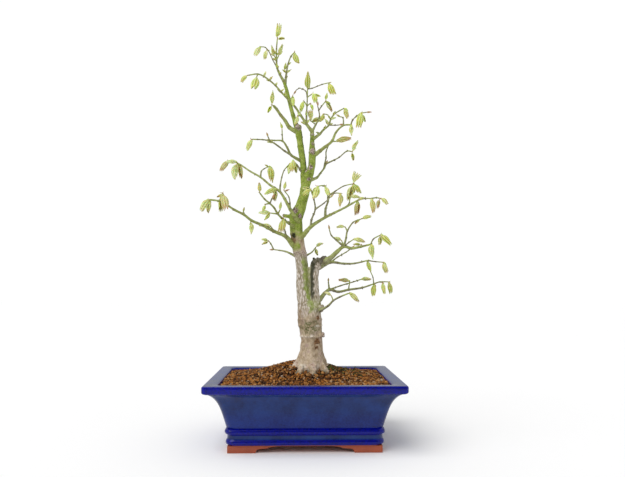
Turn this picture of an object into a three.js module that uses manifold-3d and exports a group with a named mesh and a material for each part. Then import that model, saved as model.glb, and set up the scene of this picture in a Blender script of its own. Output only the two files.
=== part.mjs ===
// A Japanese maple bonsai with young, just-opening leaves, growing in its blue-glazed rectangular pot.
// Millimetres, +Z up. The origin is on the ground under the middle of the pot, and -Y is the front.
import * as THREE from "three";
import { mergeVertices } from "three/addons/utils/BufferGeometryUtils.js";
import Module from "manifold-3d";

const wasm = await Module();
wasm.setup();

// Pot: a stoneware rectangle with a broad flat lip, two raised bands and four bracket feet.
const potWide = 255;
const potDeep = 200;
const potTall = 86.5;
const rimCorner = 4;
const cornerGrowth = 0.32;
const cornerSteps = 3;
const footTall = 8.1;
const footInset = 29.5;
const footThick = 13;
const floorTop = 16;
const drainRadius = 11;
const drainX = 45;

// The outside of the pot from the base up, as [inset from the lip's edge, height].
const potOutside = [
  [29.5, footTall], [28, 9.6], [27, 12.2], [27.4, 15.7], [28.6, 17.4], [28.6, 20.6], [26.6, 22.4],
  [25.8, 26.5], [26.4, 30.2], [27.4, 31], [26.4, 34.3], [25, 42], [23.5, 48], [22.2, 53.6], [20.5, 57.6],
  [18.8, 61.6], [16.6, 65.7], [13.3, 69.9], [10.4, 72.3], [6.9, 74.7], [6.4, 76], [1.4, 78.6], [0, 80.4],
  [0, 85.1], [1.4, potTall],
];

// The inside, from the floor up to the lip's inner edge.
const potInside = [
  [37, floorTop], [35.5, 21], [34, 35], [31, 50], [27, 61], [22, 70], [18.4, 78], [17, 84], [17, potTall],
];

// Gap kept between pieces that touch, and the size of sliver that fusing may leave out.
const seat = 0.35;
const sliver = 0.1;

// Screens of plastic mesh over the two drain holes.
const screenSide = 36;
const screenThick = 0.9;
const screenHoles = 2;
const screenHole = 10;
const screenPitch = 14;

// Soil: fired clay grains, low at the lip and mounded round the trunk.
const soilEdge = 81;
const moundRise = 23;
const moundX = -3;
const moundY = 10;
const moundSpreadX = 46;
const moundSpreadFront = 30;
const moundSpreadBack = 44;
const grainPitch = 7.3;
const grainRelief = 1.5;

// Leaves.
const bladeThick = 0.7;
const stalkThick = 1.2;
const smallLeaf = 12;
const leafSpacing = 7;
const seedOfGrowth = 7;

// Wood: collars are the swellings that carry each branch.
const collarLength = 4;
const woodSides = 12;
const stumpSides = 9;
const leaderSides = 7;

const colours = {
  glaze: "#0b1c93",
  screen: "#2c2f30",
  soil: "#9a6433",
  bark: "#9c8f73",
  green: "#7f9243",
};

function vector(x, y, z) {
  return new THREE.Vector3(x, y, z);
}

// Repeatable random numbers from 0 to 1.
function randomSource(seed) {
  let state = seed;
  return () => {
    state = (state * 1664525 + 1013904223) % 4294967296;
    return state / 4294967296;
  };
}

function solidOf(geometry) {
  const bare = geometry.clone();
  bare.deleteAttribute("normal");
  bare.deleteAttribute("uv");
  const merged = mergeVertices(bare, 1e-4);
  return new wasm.Manifold(
    new wasm.Mesh({
      numProp: 3,
      vertProperties: merged.getAttribute("position").array,
      triVerts: new Uint32Array(merged.index.array),
    }),
  );
}

function geometryOf(solid) {
  const mesh = solid.getMesh();
  const geometry = new THREE.BufferGeometry();
  const places = new Float32Array(mesh.numVert * 3);
  for (let i = 0; i < mesh.numVert; i++) {
    places.set(mesh.vertProperties.subarray(i * mesh.numProp, i * mesh.numProp + 3), i * 3);
  }
  geometry.setAttribute("position", new THREE.BufferAttribute(places, 3));
  geometry.setIndex(new THREE.BufferAttribute(mesh.triVerts, 1));
  return geometry;
}

// Joins solids and drops any loose scrap smaller than the main body.
function fuse(solids) {
  const bodies = wasm.Manifold.union(solids).asOriginal().simplify(sliver).decompose();
  bodies.sort((a, b) => b.volume() - a.volume());
  return bodies[0];
}

// A closed skin over rings of points, with a fan of faces over each end.
// A ring of up to six points is closed from its first point, a longer one from its middle.
function skinOf(rings) {
  const count = rings[0].length;
  const places = [];
  const faces = [];
  for (const ring of rings) {
    for (const point of ring) places.push(point.x, point.y, point.z);
  }
  for (let row = 0; row + 1 < rings.length; row++) {
    for (let i = 0; i < count; i++) {
      const a = row * count + i;
      const b = row * count + ((i + 1) % count);
      faces.push(a, b, b + count, a, b + count, a + count);
    }
  }
  const ends = [[rings[0], 0, true], [rings.at(-1), (rings.length - 1) * count, false]];
  for (const [ring, first, flip] of ends) {
    const short = count < 7;
    const hub = short ? first : places.length / 3;
    if (!short) {
      const middle = ring.reduce((sum, point) => sum.add(point), vector(0, 0, 0)).divideScalar(count);
      places.push(middle.x, middle.y, middle.z);
    }
    for (let i = short ? 1 : 0; i < (short ? count - 1 : count); i++) {
      const a = first + i;
      const b = first + ((i + 1) % count);
      if (flip) faces.push(hub, b, a);
      else faces.push(hub, a, b);
    }
  }
  const geometry = new THREE.BufferGeometry();
  geometry.setAttribute("position", new THREE.Float32BufferAttribute(places, 3));
  geometry.setIndex(faces);
  return geometry;
}

// A rounded rectangle at one height, set in from the lip's edge.
function potRing(inset, height) {
  const radius = rimCorner + inset * cornerGrowth;
  const x = potWide / 2 - inset - radius;
  const y = potDeep / 2 - inset - radius;
  const ring = [];
  for (let corner = 0; corner < 4; corner++) {
    const signX = corner === 0 || corner === 3 ? 1 : -1;
    const signY = corner < 2 ? 1 : -1;
    for (let step = 0; step <= cornerSteps; step++) {
      const angle = ((corner + step / cornerSteps) * Math.PI) / 2;
      ring.push(vector(signX * x + radius * Math.cos(angle), signY * y + radius * Math.sin(angle), height));
    }
  }
  return ring;
}

// One bracket foot: a flat pad at the corner whose two legs sweep up to the base.
function footLeg(flat, sweep) {
  const shape = new THREE.Shape();
  shape.moveTo(0, 0);
  shape.lineTo(flat, 0);
  shape.lineTo(flat + 1, footTall * 0.34);
  shape.quadraticCurveTo(flat + sweep * 0.25, footTall * 0.6, flat + sweep * 0.5, footTall * 0.66);
  shape.lineTo(flat + sweep * 0.52, footTall * 0.82);
  shape.lineTo(flat + sweep, footTall + 0.5);
  shape.lineTo(0, footTall + 0.5);
  return new THREE.ExtrudeGeometry(shape, { depth: footThick, bevelEnabled: false, curveSegments: 3 });
}

function footSolid(signX, signY) {
  const along = footLeg(35, 24);
  along.rotateX(Math.PI / 2);
  along.translate(0, footThick, 0);
  const across = footLeg(28, 20);
  across.rotateX(Math.PI / 2);
  across.rotateZ(Math.PI / 2);
  const corner = solidOf(along).add(solidOf(across));
  const placed = signX > 0 ? corner.mirror([1, 0, 0]) : corner;
  const turned = signY > 0 ? placed.mirror([0, 1, 0]) : placed;
  return turned.translate([signX * (potWide / 2 - footInset), signY * (potDeep / 2 - footInset), 0]);
}

function potSolid() {
  const outside = solidOf(skinOf(potOutside.map(([inset, height]) => potRing(inset, height))));
  const rings = potInside.map(([inset, height]) => potRing(inset, height));
  rings.push(potRing(potInside.at(-1)[0], potTall + 2));
  let pot = outside;
  for (const signX of [-1, 1]) {
    for (const signY of [-1, 1]) pot = pot.add(footSolid(signX, signY));
  }
  pot = pot.subtract(solidOf(skinOf(rings)));
  for (const sign of [-1, 1]) {
    const drain = new THREE.CylinderGeometry(drainRadius, drainRadius, floorTop * 2, 16);
    drain.rotateX(Math.PI / 2);
    drain.translate(sign * drainX, 0, floorTop);
    pot = pot.subtract(solidOf(drain));
  }
  return pot;
}

function screenSolid(sign) {
  const plate = new THREE.BoxGeometry(screenSide, screenSide, screenThick);
  let screen = solidOf(plate);
  for (let row = 0; row < screenHoles; row++) {
    for (let column = 0; column < screenHoles; column++) {
      const hole = new THREE.BoxGeometry(screenHole, screenHole, screenThick * 3);
      const middle = (screenHoles - 1) / 2;
      hole.translate((row - middle) * screenPitch, (column - middle) * screenPitch, 0);
      screen = screen.subtract(solidOf(hole));
    }
  }
  return screen.translate([sign * drainX, 0, floorTop + seat + screenThick / 2]);
}

// Height of the soil before its grains.
function soilHeight(x, y) {
  const across = (x - moundX) / moundSpreadX;
  const along = (y - moundY) / (y < moundY ? moundSpreadFront : moundSpreadBack);
  return soilEdge + moundRise * Math.exp(-(across * across + along * along) / 2);
}

function soilSolid(trunkHole) {
  const random = randomSource(seedOfGrowth);
  const wide = potWide - 20;
  const deep = potDeep - 20;
  const block = new THREE.BoxGeometry(
    wide, deep, 40, Math.round(wide / grainPitch), Math.round(deep / grainPitch), 1,
  );
  block.deleteAttribute("normal");
  block.deleteAttribute("uv");
  const grid = mergeVertices(block, 1e-3);
  const places = grid.getAttribute("position");
  for (let i = 0; i < places.count; i++) {
    const x = places.getX(i);
    const y = places.getY(i);
    if (places.getZ(i) > 0) {
      places.setXYZ(
        i,
        x + (random() - 0.5) * grainPitch * 0.4,
        y + (random() - 0.5) * grainPitch * 0.4,
        soilHeight(x, y) + (random() - 0.5) * 2 * grainRelief,
      );
    }
  }
  const rings = potInside.map(([inset, height]) => potRing(inset + seat, height + seat));
  rings.push(potRing(potInside.at(-1)[0] + seat, potTall + 50));
  let soil = solidOf(grid).intersect(solidOf(skinOf(rings)));
  soil = soil.subtract(trunkHole);
  for (const sign of [-1, 1]) {
    const space = new THREE.BoxGeometry(screenSide + 1, screenSide + 1, (screenThick + seat * 2) * 2);
    space.translate(sign * drainX, 0, floorTop);
    soil = soil.subtract(solidOf(space));
  }
  return soil;
}

// The trunk's own line, as [height, middle x, middle y, radius].
const trunkLine = [
  [58, 7, 1, 19], [72, 7, 1, 24], [93, 7, 0, 25.5], [100, 7.5, 0, 24.5], [107, 8, 0, 21.5], [114, 8.5, 0, 18.7],
  [121, 9, 0, 16.6], [135, 9, 0, 15.3], [149, 8, 0, 15.5], [163, 7, 0, 16.8], [177, 6.5, 0, 16.4],
  [184, 4.5, 0, 14.5], [192, 0.5, 0, 11.3], [205, -2, 0, 9.6], [219, -3, 0, 9.1], [233, -3.7, 0, 8.9],
  [247, -5.2, 0, 8.9], [261, -8, 0, 9.2], [275, -10.4, 0, 9.3], [290, -12, 0, 9.3], [304, -12.8, 0, 9.4],
  [312, -11.8, 0, 10.6], [320, -8.2, 0, 9.4], [326, -5.6, 0, 7.9], [340, -1.4, 0, 7.3], [355, 0.6, 0, 6.9],
  [364, 0.6, 0, 7.3], [371, -1.2, 0, 5.6],
];

// The first leader, which carries on from the trunk to the tip.
const firstLeaderLine = [
  [358, 0.4, 0, 5.6], [371, -1.2, 0, 5.4], [378, -2.2, 0, 5], [391, -3.3, 0, 4.7], [406, -5.8, 0, 4.9],
  [421, -7.8, 0, 4.8], [434, -9.8, 0, 5.3], [441, -12.4, 0, 4.4], [450, -15.3, 0, 3.5], [465, -19.6, 0, 3.2],
  [480, -23.3, 0, 3], [495, -26.8, 0, 2.8], [506, -30.4, 0, 2.5],
];

// The second trunk, cut back long ago, close against the first on its right.
const stumpLine = [
  [170, 11, -2, 8], [184, 14, -3, 9], [193, 14.3, -4, 7.8], [205, 13.4, -5, 6.3], [219, 13.2, -5, 6],
  [232, 13.4, -5, 6.6], [238, 14.6, -5, 8], [244, 16.4, -5, 8.2], [249, 17, -5, 5],
];

// The second leader, which parts from the first at two thirds of the height.
const secondLeaderLine = [
  [352, 2, -1, 5], [362, 4.4, -3, 6.2], [371, 7, -5, 6], [382, 9.6, -7, 5.5], [396, 10.2, -8, 5.5],
  [404, 10, -9, 5.1], [412, 10, -9, 3.7], [426, 10, -10, 3], [433, 9.6, -10, 2.7],
];

// Old cuts and knobs, as [start, end, radius] of a short stub.
const cuts = [
  [[-14, 0, 308], [-31, 4, 311], 3],
  [[-10, -2, 315], [-10, -10, 316], 7.5],
  [[10, -9, 400], [9.5, -14.5, 401], 4.8],
  [[-9.8, -2, 434], [-9, -7, 441], 4.4],
  [[14, -6, 142], [26.5, -9, 143], 3.4],
  [[12, -6, 180], [25.5, -9, 181], 4.2],
  [[16, -6, 243], [25, -10, 247], 4.5],
  [[3, -6, 366], [3, -11, 368], 4.5],
];

// How the bark swells: soft lumps higher up, and strong root ribs at the ground.
function barkSwell(angle, height) {
  const flare = Math.exp(-Math.max(0, height - 96) / 13);
  const ribs = Math.cos(5 * angle + 0.7) * 0.1 * flare;
  const lumps = Math.sin(3 * angle + height / 17) * 0.035 + Math.sin(4 * angle - height / 9) * 0.025;
  return 1 + ribs + lumps;
}

function woodSkin(line, sides, grow, swell) {
  return skinOf(
    line.map(([height, x, y, radius]) => {
      const ring = [];
      for (let i = 0; i < sides; i++) {
        const angle = (i / sides) * Math.PI * 2;
        const reach = radius * (swell ? barkSwell(angle, height) : 1) + grow;
        ring.push(vector(x + Math.cos(angle) * reach, y + Math.sin(angle) * reach, height));
      }
      return ring;
    }),
  );
}

// A round stem along a curve from one share of its length to another.
function stemSkin(curve, from, to, steps, sides, radiusAt) {
  const rings = [];
  const normal = vector(0, 0, 0);
  let before = null;
  for (let step = 0; step <= steps; step++) {
    const share = Math.min(1, from + ((to - from) * step) / steps);
    const middle = curve.getPointAt(share);
    const tangent = curve.getTangentAt(share).normalize();
    if (before) normal.applyQuaternion(new THREE.Quaternion().setFromUnitVectors(before, tangent));
    else normal.crossVectors(tangent, Math.abs(tangent.z) < 0.9 ? vector(0, 0, 1) : vector(1, 0, 0));
    normal.addScaledVector(tangent, -normal.dot(tangent)).normalize();
    const other = vector(0, 0, 0).crossVectors(tangent, normal);
    const ring = [];
    for (let i = 0; i < sides; i++) {
      const angle = (i / sides) * Math.PI * 2;
      ring.push(
        middle.clone()
          .addScaledVector(normal, Math.cos(angle) * radiusAt(share))
          .addScaledVector(other, Math.sin(angle) * radiusAt(share)),
      );
    }
    rings.push(ring);
    before = tangent.clone();
  }
  return skinOf(rings);
}

// A young leaf on its stalk, as one skin. The stalk comes from inside the stem's end and bends over a
// knee, and the lobes hang round it like a half-shut umbrella, folded along their ribs.
function leafSkin(stalk, along, face, length, spread, lobeCount) {
  const side = vector(0, 0, 0).crossVectors(along, face).normalize();
  const base = stalk.at(-1);
  const open = THREE.MathUtils.degToRad(9 + 58 * spread);
  const turn = THREE.MathUtils.degToRad(lobeCount > 3 ? 42 : 56);
  const middle = (lobeCount - 1) / 2;
  const point = (reach, lean, around) =>
    base.clone()
      .addScaledVector(along, reach * Math.cos(lean))
      .addScaledVector(face, reach * Math.sin(lean) * Math.cos(around))
      .addScaledVector(side, reach * Math.sin(lean) * Math.sin(around));
  const lobeLength = (lobe) => length * (1 - 0.1 * Math.pow(Math.abs(lobe - middle), 1.6));
  const sheet = [
    base.clone().addScaledVector(side, -stalkThick / 2),
    base.clone().addScaledVector(side, stalkThick / 2),
  ];
  const faces = [];
  for (let lobe = 0; lobe <= lobeCount; lobe++) {
    const around = (lobe - middle) * turn;
    const outer = lobe === 0 || lobe === lobeCount;
    const reach = Math.min(lobeLength(lobe), lobeLength(lobe - 1));
    sheet.push(point(reach * (outer ? 0.5 : 0.66), open * 0.85, around - turn * 0.5));
    if (lobe < lobeCount) sheet.push(point(lobeLength(lobe), open, around));
  }
  const middleTip = 3 + 2 * middle;
  for (let i = 2; i + 1 < sheet.length; i++) faces.push([i < middleTip ? 0 : 1, i, i + 1]);
  faces.push([0, middleTip, 1]);

  const normals = sheet.map(() => vector(0, 0, 0));
  for (const corners of faces) {
    const [a, b, c] = corners.map((i) => sheet[i]);
    const normal = vector(0, 0, 0).crossVectors(b.clone().sub(a), c.clone().sub(a)).normalize();
    for (const corner of corners) normals[corner].add(normal);
  }
  normals[0] = face.clone().negate();
  normals[1] = face.clone().negate();

  // Both faces of the blade, split into triangles alike, then the wall round its edge.
  const places = [];
  const index = [];
  const count = sheet.length;
  for (const sign of [0.5, -0.5]) {
    sheet.forEach((corner, i) => {
      const moved = corner.clone().addScaledVector(normals[i].normalize(), sign * bladeThick);
      places.push(moved.x, moved.y, moved.z);
    });
  }
  for (const [a, b, c] of faces) index.push(a, b, c, a + count, c + count, b + count);
  const rim = [0, ...sheet.keys()].filter((i, k) => k === 0 || i > 1).concat(1);
  for (let k = 0; k + 1 < rim.length; k++) {
    const [a, b] = [rim[k], rim[k + 1]];
    index.push(b, a, a + count, b, a + count, b + count);
  }

  // The stalk, from the blade's foot back into the stem.
  let ring = [0, count, count + 1, 1];
  const frame = { side: side.clone(), face: face.clone(), along: along.clone() };
  for (let k = stalk.length - 2; k >= 0; k--) {
    const heading = stalk[k + 1].clone().sub(stalk[k]).normalize();
    const bend = new THREE.Quaternion().setFromUnitVectors(frame.along, heading);
    for (const axis of Object.values(frame)) axis.applyQuaternion(bend);
    const next = [];
    for (const [across, out] of [[-1, -1], [-1, 1], [1, 1], [1, -1]]) {
      const corner = stalk[k].clone()
        .addScaledVector(frame.side, (across * stalkThick) / 2)
        .addScaledVector(frame.face, (out * bladeThick) / 2);
      next.push(places.length / 3);
      places.push(corner.x, corner.y, corner.z);
    }
    for (let i = 0; i < 4; i++) {
      const j = (i + 1) % 4;
      index.push(next[i], next[j], ring[j], next[i], ring[j], ring[i]);
    }
    ring = next;
  }
  index.push(ring[0], ring[3], ring[2], ring[0], ring[2], ring[1]);
  const geometry = new THREE.BufferGeometry();
  geometry.setAttribute("position", new THREE.Float32BufferAttribute(places, 3));
  geometry.setIndex(index);
  return geometry;
}

// A closed bud: a slim spindle with three sides.
function budSkin(end, along, length) {
  const start = end.clone().addScaledVector(along, -1);
  const curve = new THREE.LineCurve3(start, end.clone().addScaledVector(along, length));
  return stemSkin(curve, 0, 1, 3, 3, (share) => 0.35 + 1.4 * Math.sin(Math.PI * share));
}

// What grows at a stem's end. The angle is seen from the front: 0 right, 90 up.
function leaf(angle, length, spread) {
  return { angle, length, spread };
}

function bud(angle, length) {
  return { angle, length, spread: 0 };
}

// A stem leaves its parent's numbered point on a compass bearing: 0 right, 90 back, 180 left, 270 front.
// Its path holds [out, up] or [out, up, aside] from that point, where aside is to the left of the bearing.
function twig(at, bearing, radii, path, grows = [], twigs = []) {
  return { at, bearing, radii, path, grows, twigs };
}

function limb(root, bearing, radii, path, grows = [], twigs = []) {
  return { root, bearing, radii, path, grows, twigs };
}

const limbs = {
  // The lowest long branch on the left, held out and a little towards the front.
  branch_left_low: limb([-18, -4, 269], 214, [2.4, 1.1],
    [[10, 10], [29, 17, -2], [50, 24, 1], [68, 29, 3], [78, 36, 1], [91, 42, -2], [103, 47], [116, 51, 2], [128, 52]],
    [leaf(225, 17, 0.3), leaf(250, 14, 0.2)],
    [
      twig(1, 250, [1.1, 0.7], [[4, 6], [10, 17]], [bud(100, 6)]),
      twig(2, 190, [0.8, 0.7], [[4, 6]], [leaf(160, 14, 0.1)]),
      twig(4, 250, [0.7, 0.7], [[2, -3]], [leaf(-72, 14, 0.1)]),
      twig(5, 120, [1.1, 0.7], [[3, 5]], [bud(80, 6)]),
      twig(7, 190, [0.8, 0.7], [[1, 7], [5, 14]], [leaf(-75, 22, 0.35), leaf(-115, 18, 0.3)]),
    ]),
  // The long branch above it, held out and a little towards the back.
  branch_left_long: limb([-11, -9, 302], 175, [2.1, 1],
    [[3, 5, 5], [9, 15, 8], [17, 30, 5], [25, 42], [40, 53, -7], [55, 66, -14], [71, 76, -20], [86, 87, -27], [92, 91, -30]],
    [leaf(175, 13, 0.15), leaf(-112, 21, 0.3), leaf(-72, 18, 0.25)],
    [
      twig(2, 200, [0.9, 0.7], [[2, 17], [9, 26]], [leaf(85, 10, 0.2), bud(20, 7)]),
      twig(4, 50, [1, 0.7], [[1, 9], [4, 21], [9, 32], [20, 43]], [leaf(-80, 14, 0.2)]),
      twig(4, 215, [0.7, 0.7], [[5, 2]], [leaf(-165, 15, 0.2), leaf(-112, 13, 0.35)]),
      twig(6, 60, [0.9, 0.7], [[2, 9], [9, 14], [22, 20]], [leaf(-68, 20, 0.3), bud(150, 6)]),
      twig(9, 190, [0.7, 0.7], [[6, 3], [12, 3]], [leaf(-143, 17, 0.3)]),
    ]),
  branch_left_inner: limb([-17, -8, 295], 230, [1.7, 0.9],
    [[18, 6], [34, 13, 2], [42, 21, 2], [48, 26], [56, 31, -2], [68, 38]],
    [leaf(88, 11, 0.15)],
    [
      twig(1, 262, [0.8, 0.7], [[8, 2]], [leaf(-92, 19, 0.4)]),
      twig(2, 190, [0.8, 0.7], [[10, 1]], [leaf(178, 13, 0.2), leaf(-140, 10, 0.15)]),
      twig(2, 300, [0.8, 0.7], [[5, 4]], [leaf(78, 10, 0.2)]),
      twig(4, 180, [0.7, 0.7], [[6, -1]], [leaf(-105, 9, 0.2)]),
      twig(4, 300, [0.8, 0.7], [[7, 7]], [bud(60, 6)]),
    ]),
  branch_left_high: limb([-9, -3, 391], 208, [1.7, 0.9],
    [[13, 6], [19, 15, 1], [26, 24], [38, 24, -2], [46, 23]],
    [bud(175, 6)],
    [
      twig(1, 228, [1.2, 0.8], [[13, 3], [25, 8, -1], [40, 12, -2], [52, 12, -4], [60, 11, -6], [68, 10, -8]],
        [leaf(-118, 14, 0.3)],
        [twig(3, 180, [0.7, 0.7], [[3, 7]], [bud(110, 6)]), twig(2, 190, [0.7, 0.7], [[5, 4]], [leaf(160, 8, 0.2)])]),
      twig(3, 100, [0.8, 0.7], [[4, 10], [6, 18]], [leaf(92, 9, 0.1)]),
    ]),
  branch_left_tuft: limb([-7, -5, 376], 240, [1.1, 0.7],
    [[8, 5], [18, 9]],
    [leaf(-95, 15, 0.35), leaf(-130, 10, 0.2), leaf(-68, 13, 0.3)]),
  branch_left_cut: limb([-14, 0, 434], 170, [2.3, 1.7],
    [[9, 6], [15, 16, 1], [22, 25], [28, 34, -1], [33, 40]],
    [],
    [twig(4, 200, [0.8, 0.7], [[7, 6]], [leaf(92, 16, 0.2), leaf(-135, 10, 0.2)])]),
  // Crosses in front of the first leader, with a tall side shoot.
  branch_crossing: limb([8.5, -12, 432], 192, [1.8, 0.9],
    [[7, 9], [15, 20, 1], [23, 32], [31, 40], [44, 52, 2], [52, 61, 1], [60, 68], [68, 74, -2], [77, 76], [91, 73]],
    [leaf(-150, 11, 0.3)],
    [
      twig(1, 80, [1.1, 0.8], [[2, 12], [6, 28], [9, 42], [11, 55]],
        [leaf(95, 20, 0.2)],
        [
          twig(3, 140, [0.7, 0.7], [[3, 10], [9, 14], [15, 17], [22, 15]], [bud(-120, 7)]),
          twig(4, 20, [0.7, 0.7], [[7, 2], [15, 6], [23, 10], [34, 14]], [leaf(-75, 19, 0.4)]),
          twig(3, 320, [0.7, 0.7], [[9, 3]], [leaf(-62, 16, 0.35), leaf(0, 10, 0.15)]),
          twig(2, 215, [0.7, 0.7], [[5, 6]], [leaf(-118, 14, 0.3)]),
          twig(2, 40, [0.7, 0.7], [[6, 5]], [leaf(-60, 9, 0.2)]),
        ]),
      twig(2, 235, [0.8, 0.7], [[7, -2]], [leaf(-100, 13, 0.35)]),
      twig(4, 20, [0.7, 0.7], [[4, 8]], [leaf(-85, 13, 0.3)]),
      twig(5, 150, [0.7, 0.7], [[4, 2]], [bud(120, 6)]),
      twig(9, 240, [0.7, 0.7], [[3, -5]], [leaf(-98, 23, 0.35)]),
    ]),
  branch_right_spray: limb([11, -8, 433], 50, [1.3, 0.7],
    [[7, 10], [13, 22, -2], [14, 33], [14, 40, 2]],
    [bud(90, 7)],
    [
      twig(1, 135, [0.7, 0.7], [[9, 7]], [leaf(100, 13, 0.5), leaf(30, 12, 0.4)]),
      twig(3, 10, [0.7, 0.7], [[4, 6], [10, 14]], [leaf(80, 9, 0.2), leaf(-35, 14, 0.3)]),
    ]),
  branch_right_upper: limb([14, -8, 422], 48, [1.7, 0.8],
    [[11, 8], [22, 17, 2], [32, 26], [34, 35, -2], [47, 47], [68, 60]],
    [leaf(-60, 15, 0.35)],
    [
      twig(3, 345, [0.8, 0.7], [[9, -1], [16, -1]], [bud(10, 7)]),
      twig(4, 125, [0.7, 0.7], [[7, 8], [16, 12]], [leaf(-105, 15, 0.3)]),
    ]),
  branch_right_high: limb([16, -11, 398], 325, [2.1, 1],
    [[15, 8], [25, 15, 2], [33, 26], [47, 33, -3], [57, 33]],
    [leaf(-85, 14, 0.15)],
    [
      twig(2, 10, [0.7, 0.7], [[6, 0]], [leaf(18, 18, 0.25)]),
      twig(4, 130, [0.8, 0.7], [[1, 11], [7, 14]], [bud(150, 6)]),
      twig(5, 320, [0.8, 0.7], [[3, 6], [9, 10], [17, 13]],
        [leaf(-98, 21, 0.35), leaf(-50, 10, 0.2)],
        [twig(2, 30, [0.7, 0.7], [[7, 5], [18, 9]], [bud(0, 7)])]),
    ]),
  branch_right_fork: limb([10, -4, 362], 38, [1.6, 1.1],
    [[9, 4], [16, 11, 1], [23, 20], [27, 27]],
    [bud(70, 6)],
    [
      twig(3, 60, [1, 0.8], [[2, 7], [4, 16, -1], [8, 26, 1], [14, 37]], [bud(60, 7)]),
      twig(4, 345, [1, 0.8], [[12, 5], [19, 9, 2], [31, 17], [38, 16]], [leaf(65, 14, 0.3), leaf(-70, 10, 0.2)]),
    ]),
  branch_left_spur: limb([-14, 4, 253], 138, [1.4, 0.8],
    [[18, 7], [40, 11, 3]],
    [bud(180, 6)],
    [twig(2, 190, [0.8, 0.7], [[4, 8], [7, 12]], [leaf(160, 9, 0.2), leaf(-165, 9, 0.15)])]),
  branch_right_spur: limb([1, 4, 253], 50, [1.2, 0.7],
    [[14, 6], [28, 14, 4]],
    [leaf(45, 10, 0.2), leaf(-80, 10, 0.2)]),
  // The middle branch on the right, with a shoot that comes towards the front.
  branch_right_middle: limb([-3, -5, 281], 328, [2.4, 1.1],
    [[13, 12], [24, 19, 2], [36, 24, 1], [52, 29, -2], [69, 36], [87, 44]],
    [leaf(20, 8, 0.2), leaf(-85, 17, 0.4)],
    [
      twig(1, 270, [1.2, 0.9], [[5, 9, 1], [14, 23, 6], [20, 36, 4], [26, 48, 0]],
        [leaf(-150, 13, 0.35), leaf(150, 10, 0.25)],
        [twig(2, 320, [1, 0.7], [[15, 7], [26, 14]], [bud(40, 7)])]),
      twig(3, 285, [1.4, 0.9], [[2, 12, 0], [6, 21, 2], [10, 30, 3]],
        [],
        [
          twig(2, 200, [0.9, 0.7], [[1, 14], [6, 22], [15, 21]],
            [leaf(-95, 19, 0.3), leaf(-140, 11, 0.25)],
            [twig(2, 290, [0.7, 0.7], [[6, -1]], [leaf(-75, 13, 0.35)])]),
          twig(3, 335, [0.9, 0.7], [[9, 5], [21, 11], [34, 13]],
            [leaf(70, 15, 0.6), leaf(-40, 13, 0.4), leaf(-100, 21, 0.3)]),
          twig(3, 305, [0.8, 0.7], [[12, 1], [24, -1]], [leaf(-82, 17, 0.2)]),
        ]),
      twig(5, 20, [0.7, 0.7], [[5, 6], [6, 14]], [leaf(10, 11, 0.2)]),
      twig(6, 320, [0.8, 0.7], [[12, 1], [21, 0]],
        [leaf(-70, 16, 0.3)],
        [twig(2, 350, [0.7, 0.7], [[7, 1], [12, 0]], [leaf(-35, 11, 0.3), leaf(-110, 10, 0.3)])]),
    ]),
  // The stout branch from the top of the cut-back second trunk.
  branch_stump_upper: limb([24, -7, 244], 341, [3.1, 1.1],
    [[12, 5], [22, 14, 1], [32, 21], [43, 18, -2], [56, 20, -1], [70, 23]],
    [leaf(-92, 18, 0.15)],
    [
      twig(3, 200, [1.3, 0.8], [[12, 9], [19, 15], [22, 23]], [bud(100, 7)]),
      twig(3, 35, [1.2, 0.8], [[4, 12], [8, 22, 2], [17, 35], [32, 41]],
        [leaf(20, 12, 0.3), leaf(-160, 9, 0.2)],
        [twig(2, 150, [0.7, 0.7], [[3, 6]], [leaf(165, 10, 0.2)])]),
      twig(3, 120, [0.7, 0.7], [[5, 8]], [leaf(140, 10, 0.2)]),
      twig(3, 300, [0.9, 0.7], [[13, 5], [23, 8]], [leaf(3, 13, 0.25)]),
      twig(5, 70, [0.7, 0.7], [[5, 3]], [leaf(170, 9, 0.2)]),
      twig(6, 330, [0.8, 0.7], [[4, 7], [14, 12]], [leaf(-38, 17, 0.3), leaf(-80, 12, 0.25)]),
    ]),
  branch_stump_lower: limb([21, -2, 236], 33, [2, 1],
    [[19, 8], [43, 7, 1], [65, 8, 3], [88, 13]],
    [leaf(-85, 14, 0.3)],
    [
      twig(1, 50, [1, 0.8], [[16, 8], [34, 16, -2], [52, 23]], [bud(40, 7)]),
      twig(4, 340, [0.8, 0.7], [[12, -2], [23, -3]], [leaf(-70, 15, 0.35)]),
    ]),
  // The lowest branches on the right.
  branch_right_low: limb([21, -2, 191], 34, [2.2, 1],
    [[9, 9], [17, 14], [36, 11, 3], [52, 14], [75, 17, -3], [101, 23]],
    [leaf(-90, 17, 0.35)],
    [
      twig(2, 110, [1, 0.8], [[4, 12]], [bud(90, 5)]),
      twig(2, 50, [1.1, 0.8], [[30, 6, 2], [60, 12], [80, 16]], [leaf(12, 13, 0.25)]),
      twig(4, 330, [0.8, 0.7], [[2, 12]], [leaf(158, 14, 0.25)]),
      twig(6, 120, [0.7, 0.7], [[2, 10], [8, 19]], [leaf(110, 9, 0.2)]),
      twig(6, 350, [0.8, 0.7], [[9, 3], [22, 3]],
        [leaf(-70, 15, 0.35)],
        [twig(1, 290, [0.7, 0.7], [[8, -1]], [leaf(-80, 14, 0.35)])]),
    ]),
  branch_right_lowest: limb([21, -10, 176], 318, [1.6, 0.9],
    [[15, 7], [23, 14, 1], [35, 19], [50, 24]],
    [leaf(-22, 14, 0.3)],
    [twig(2, 110, [0.7, 0.7], [[6, 6]], [leaf(135, 9, 0.2)])]),
  shoot_apex_left: limb([-31, 0, 508], 190, [1.6, 0.8],
    [[6, 10], [10, 19, 1], [11, 31], [11, 48, -1], [10, 64]],
    [leaf(75, 16, 0.45), leaf(30, 9, 0.3)],
    [
      twig(2, 215, [0.8, 0.7], [[8, 11], [15, 22], [21, 26], [28, 25]],
        [leaf(-128, 15, 0.35)],
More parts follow.
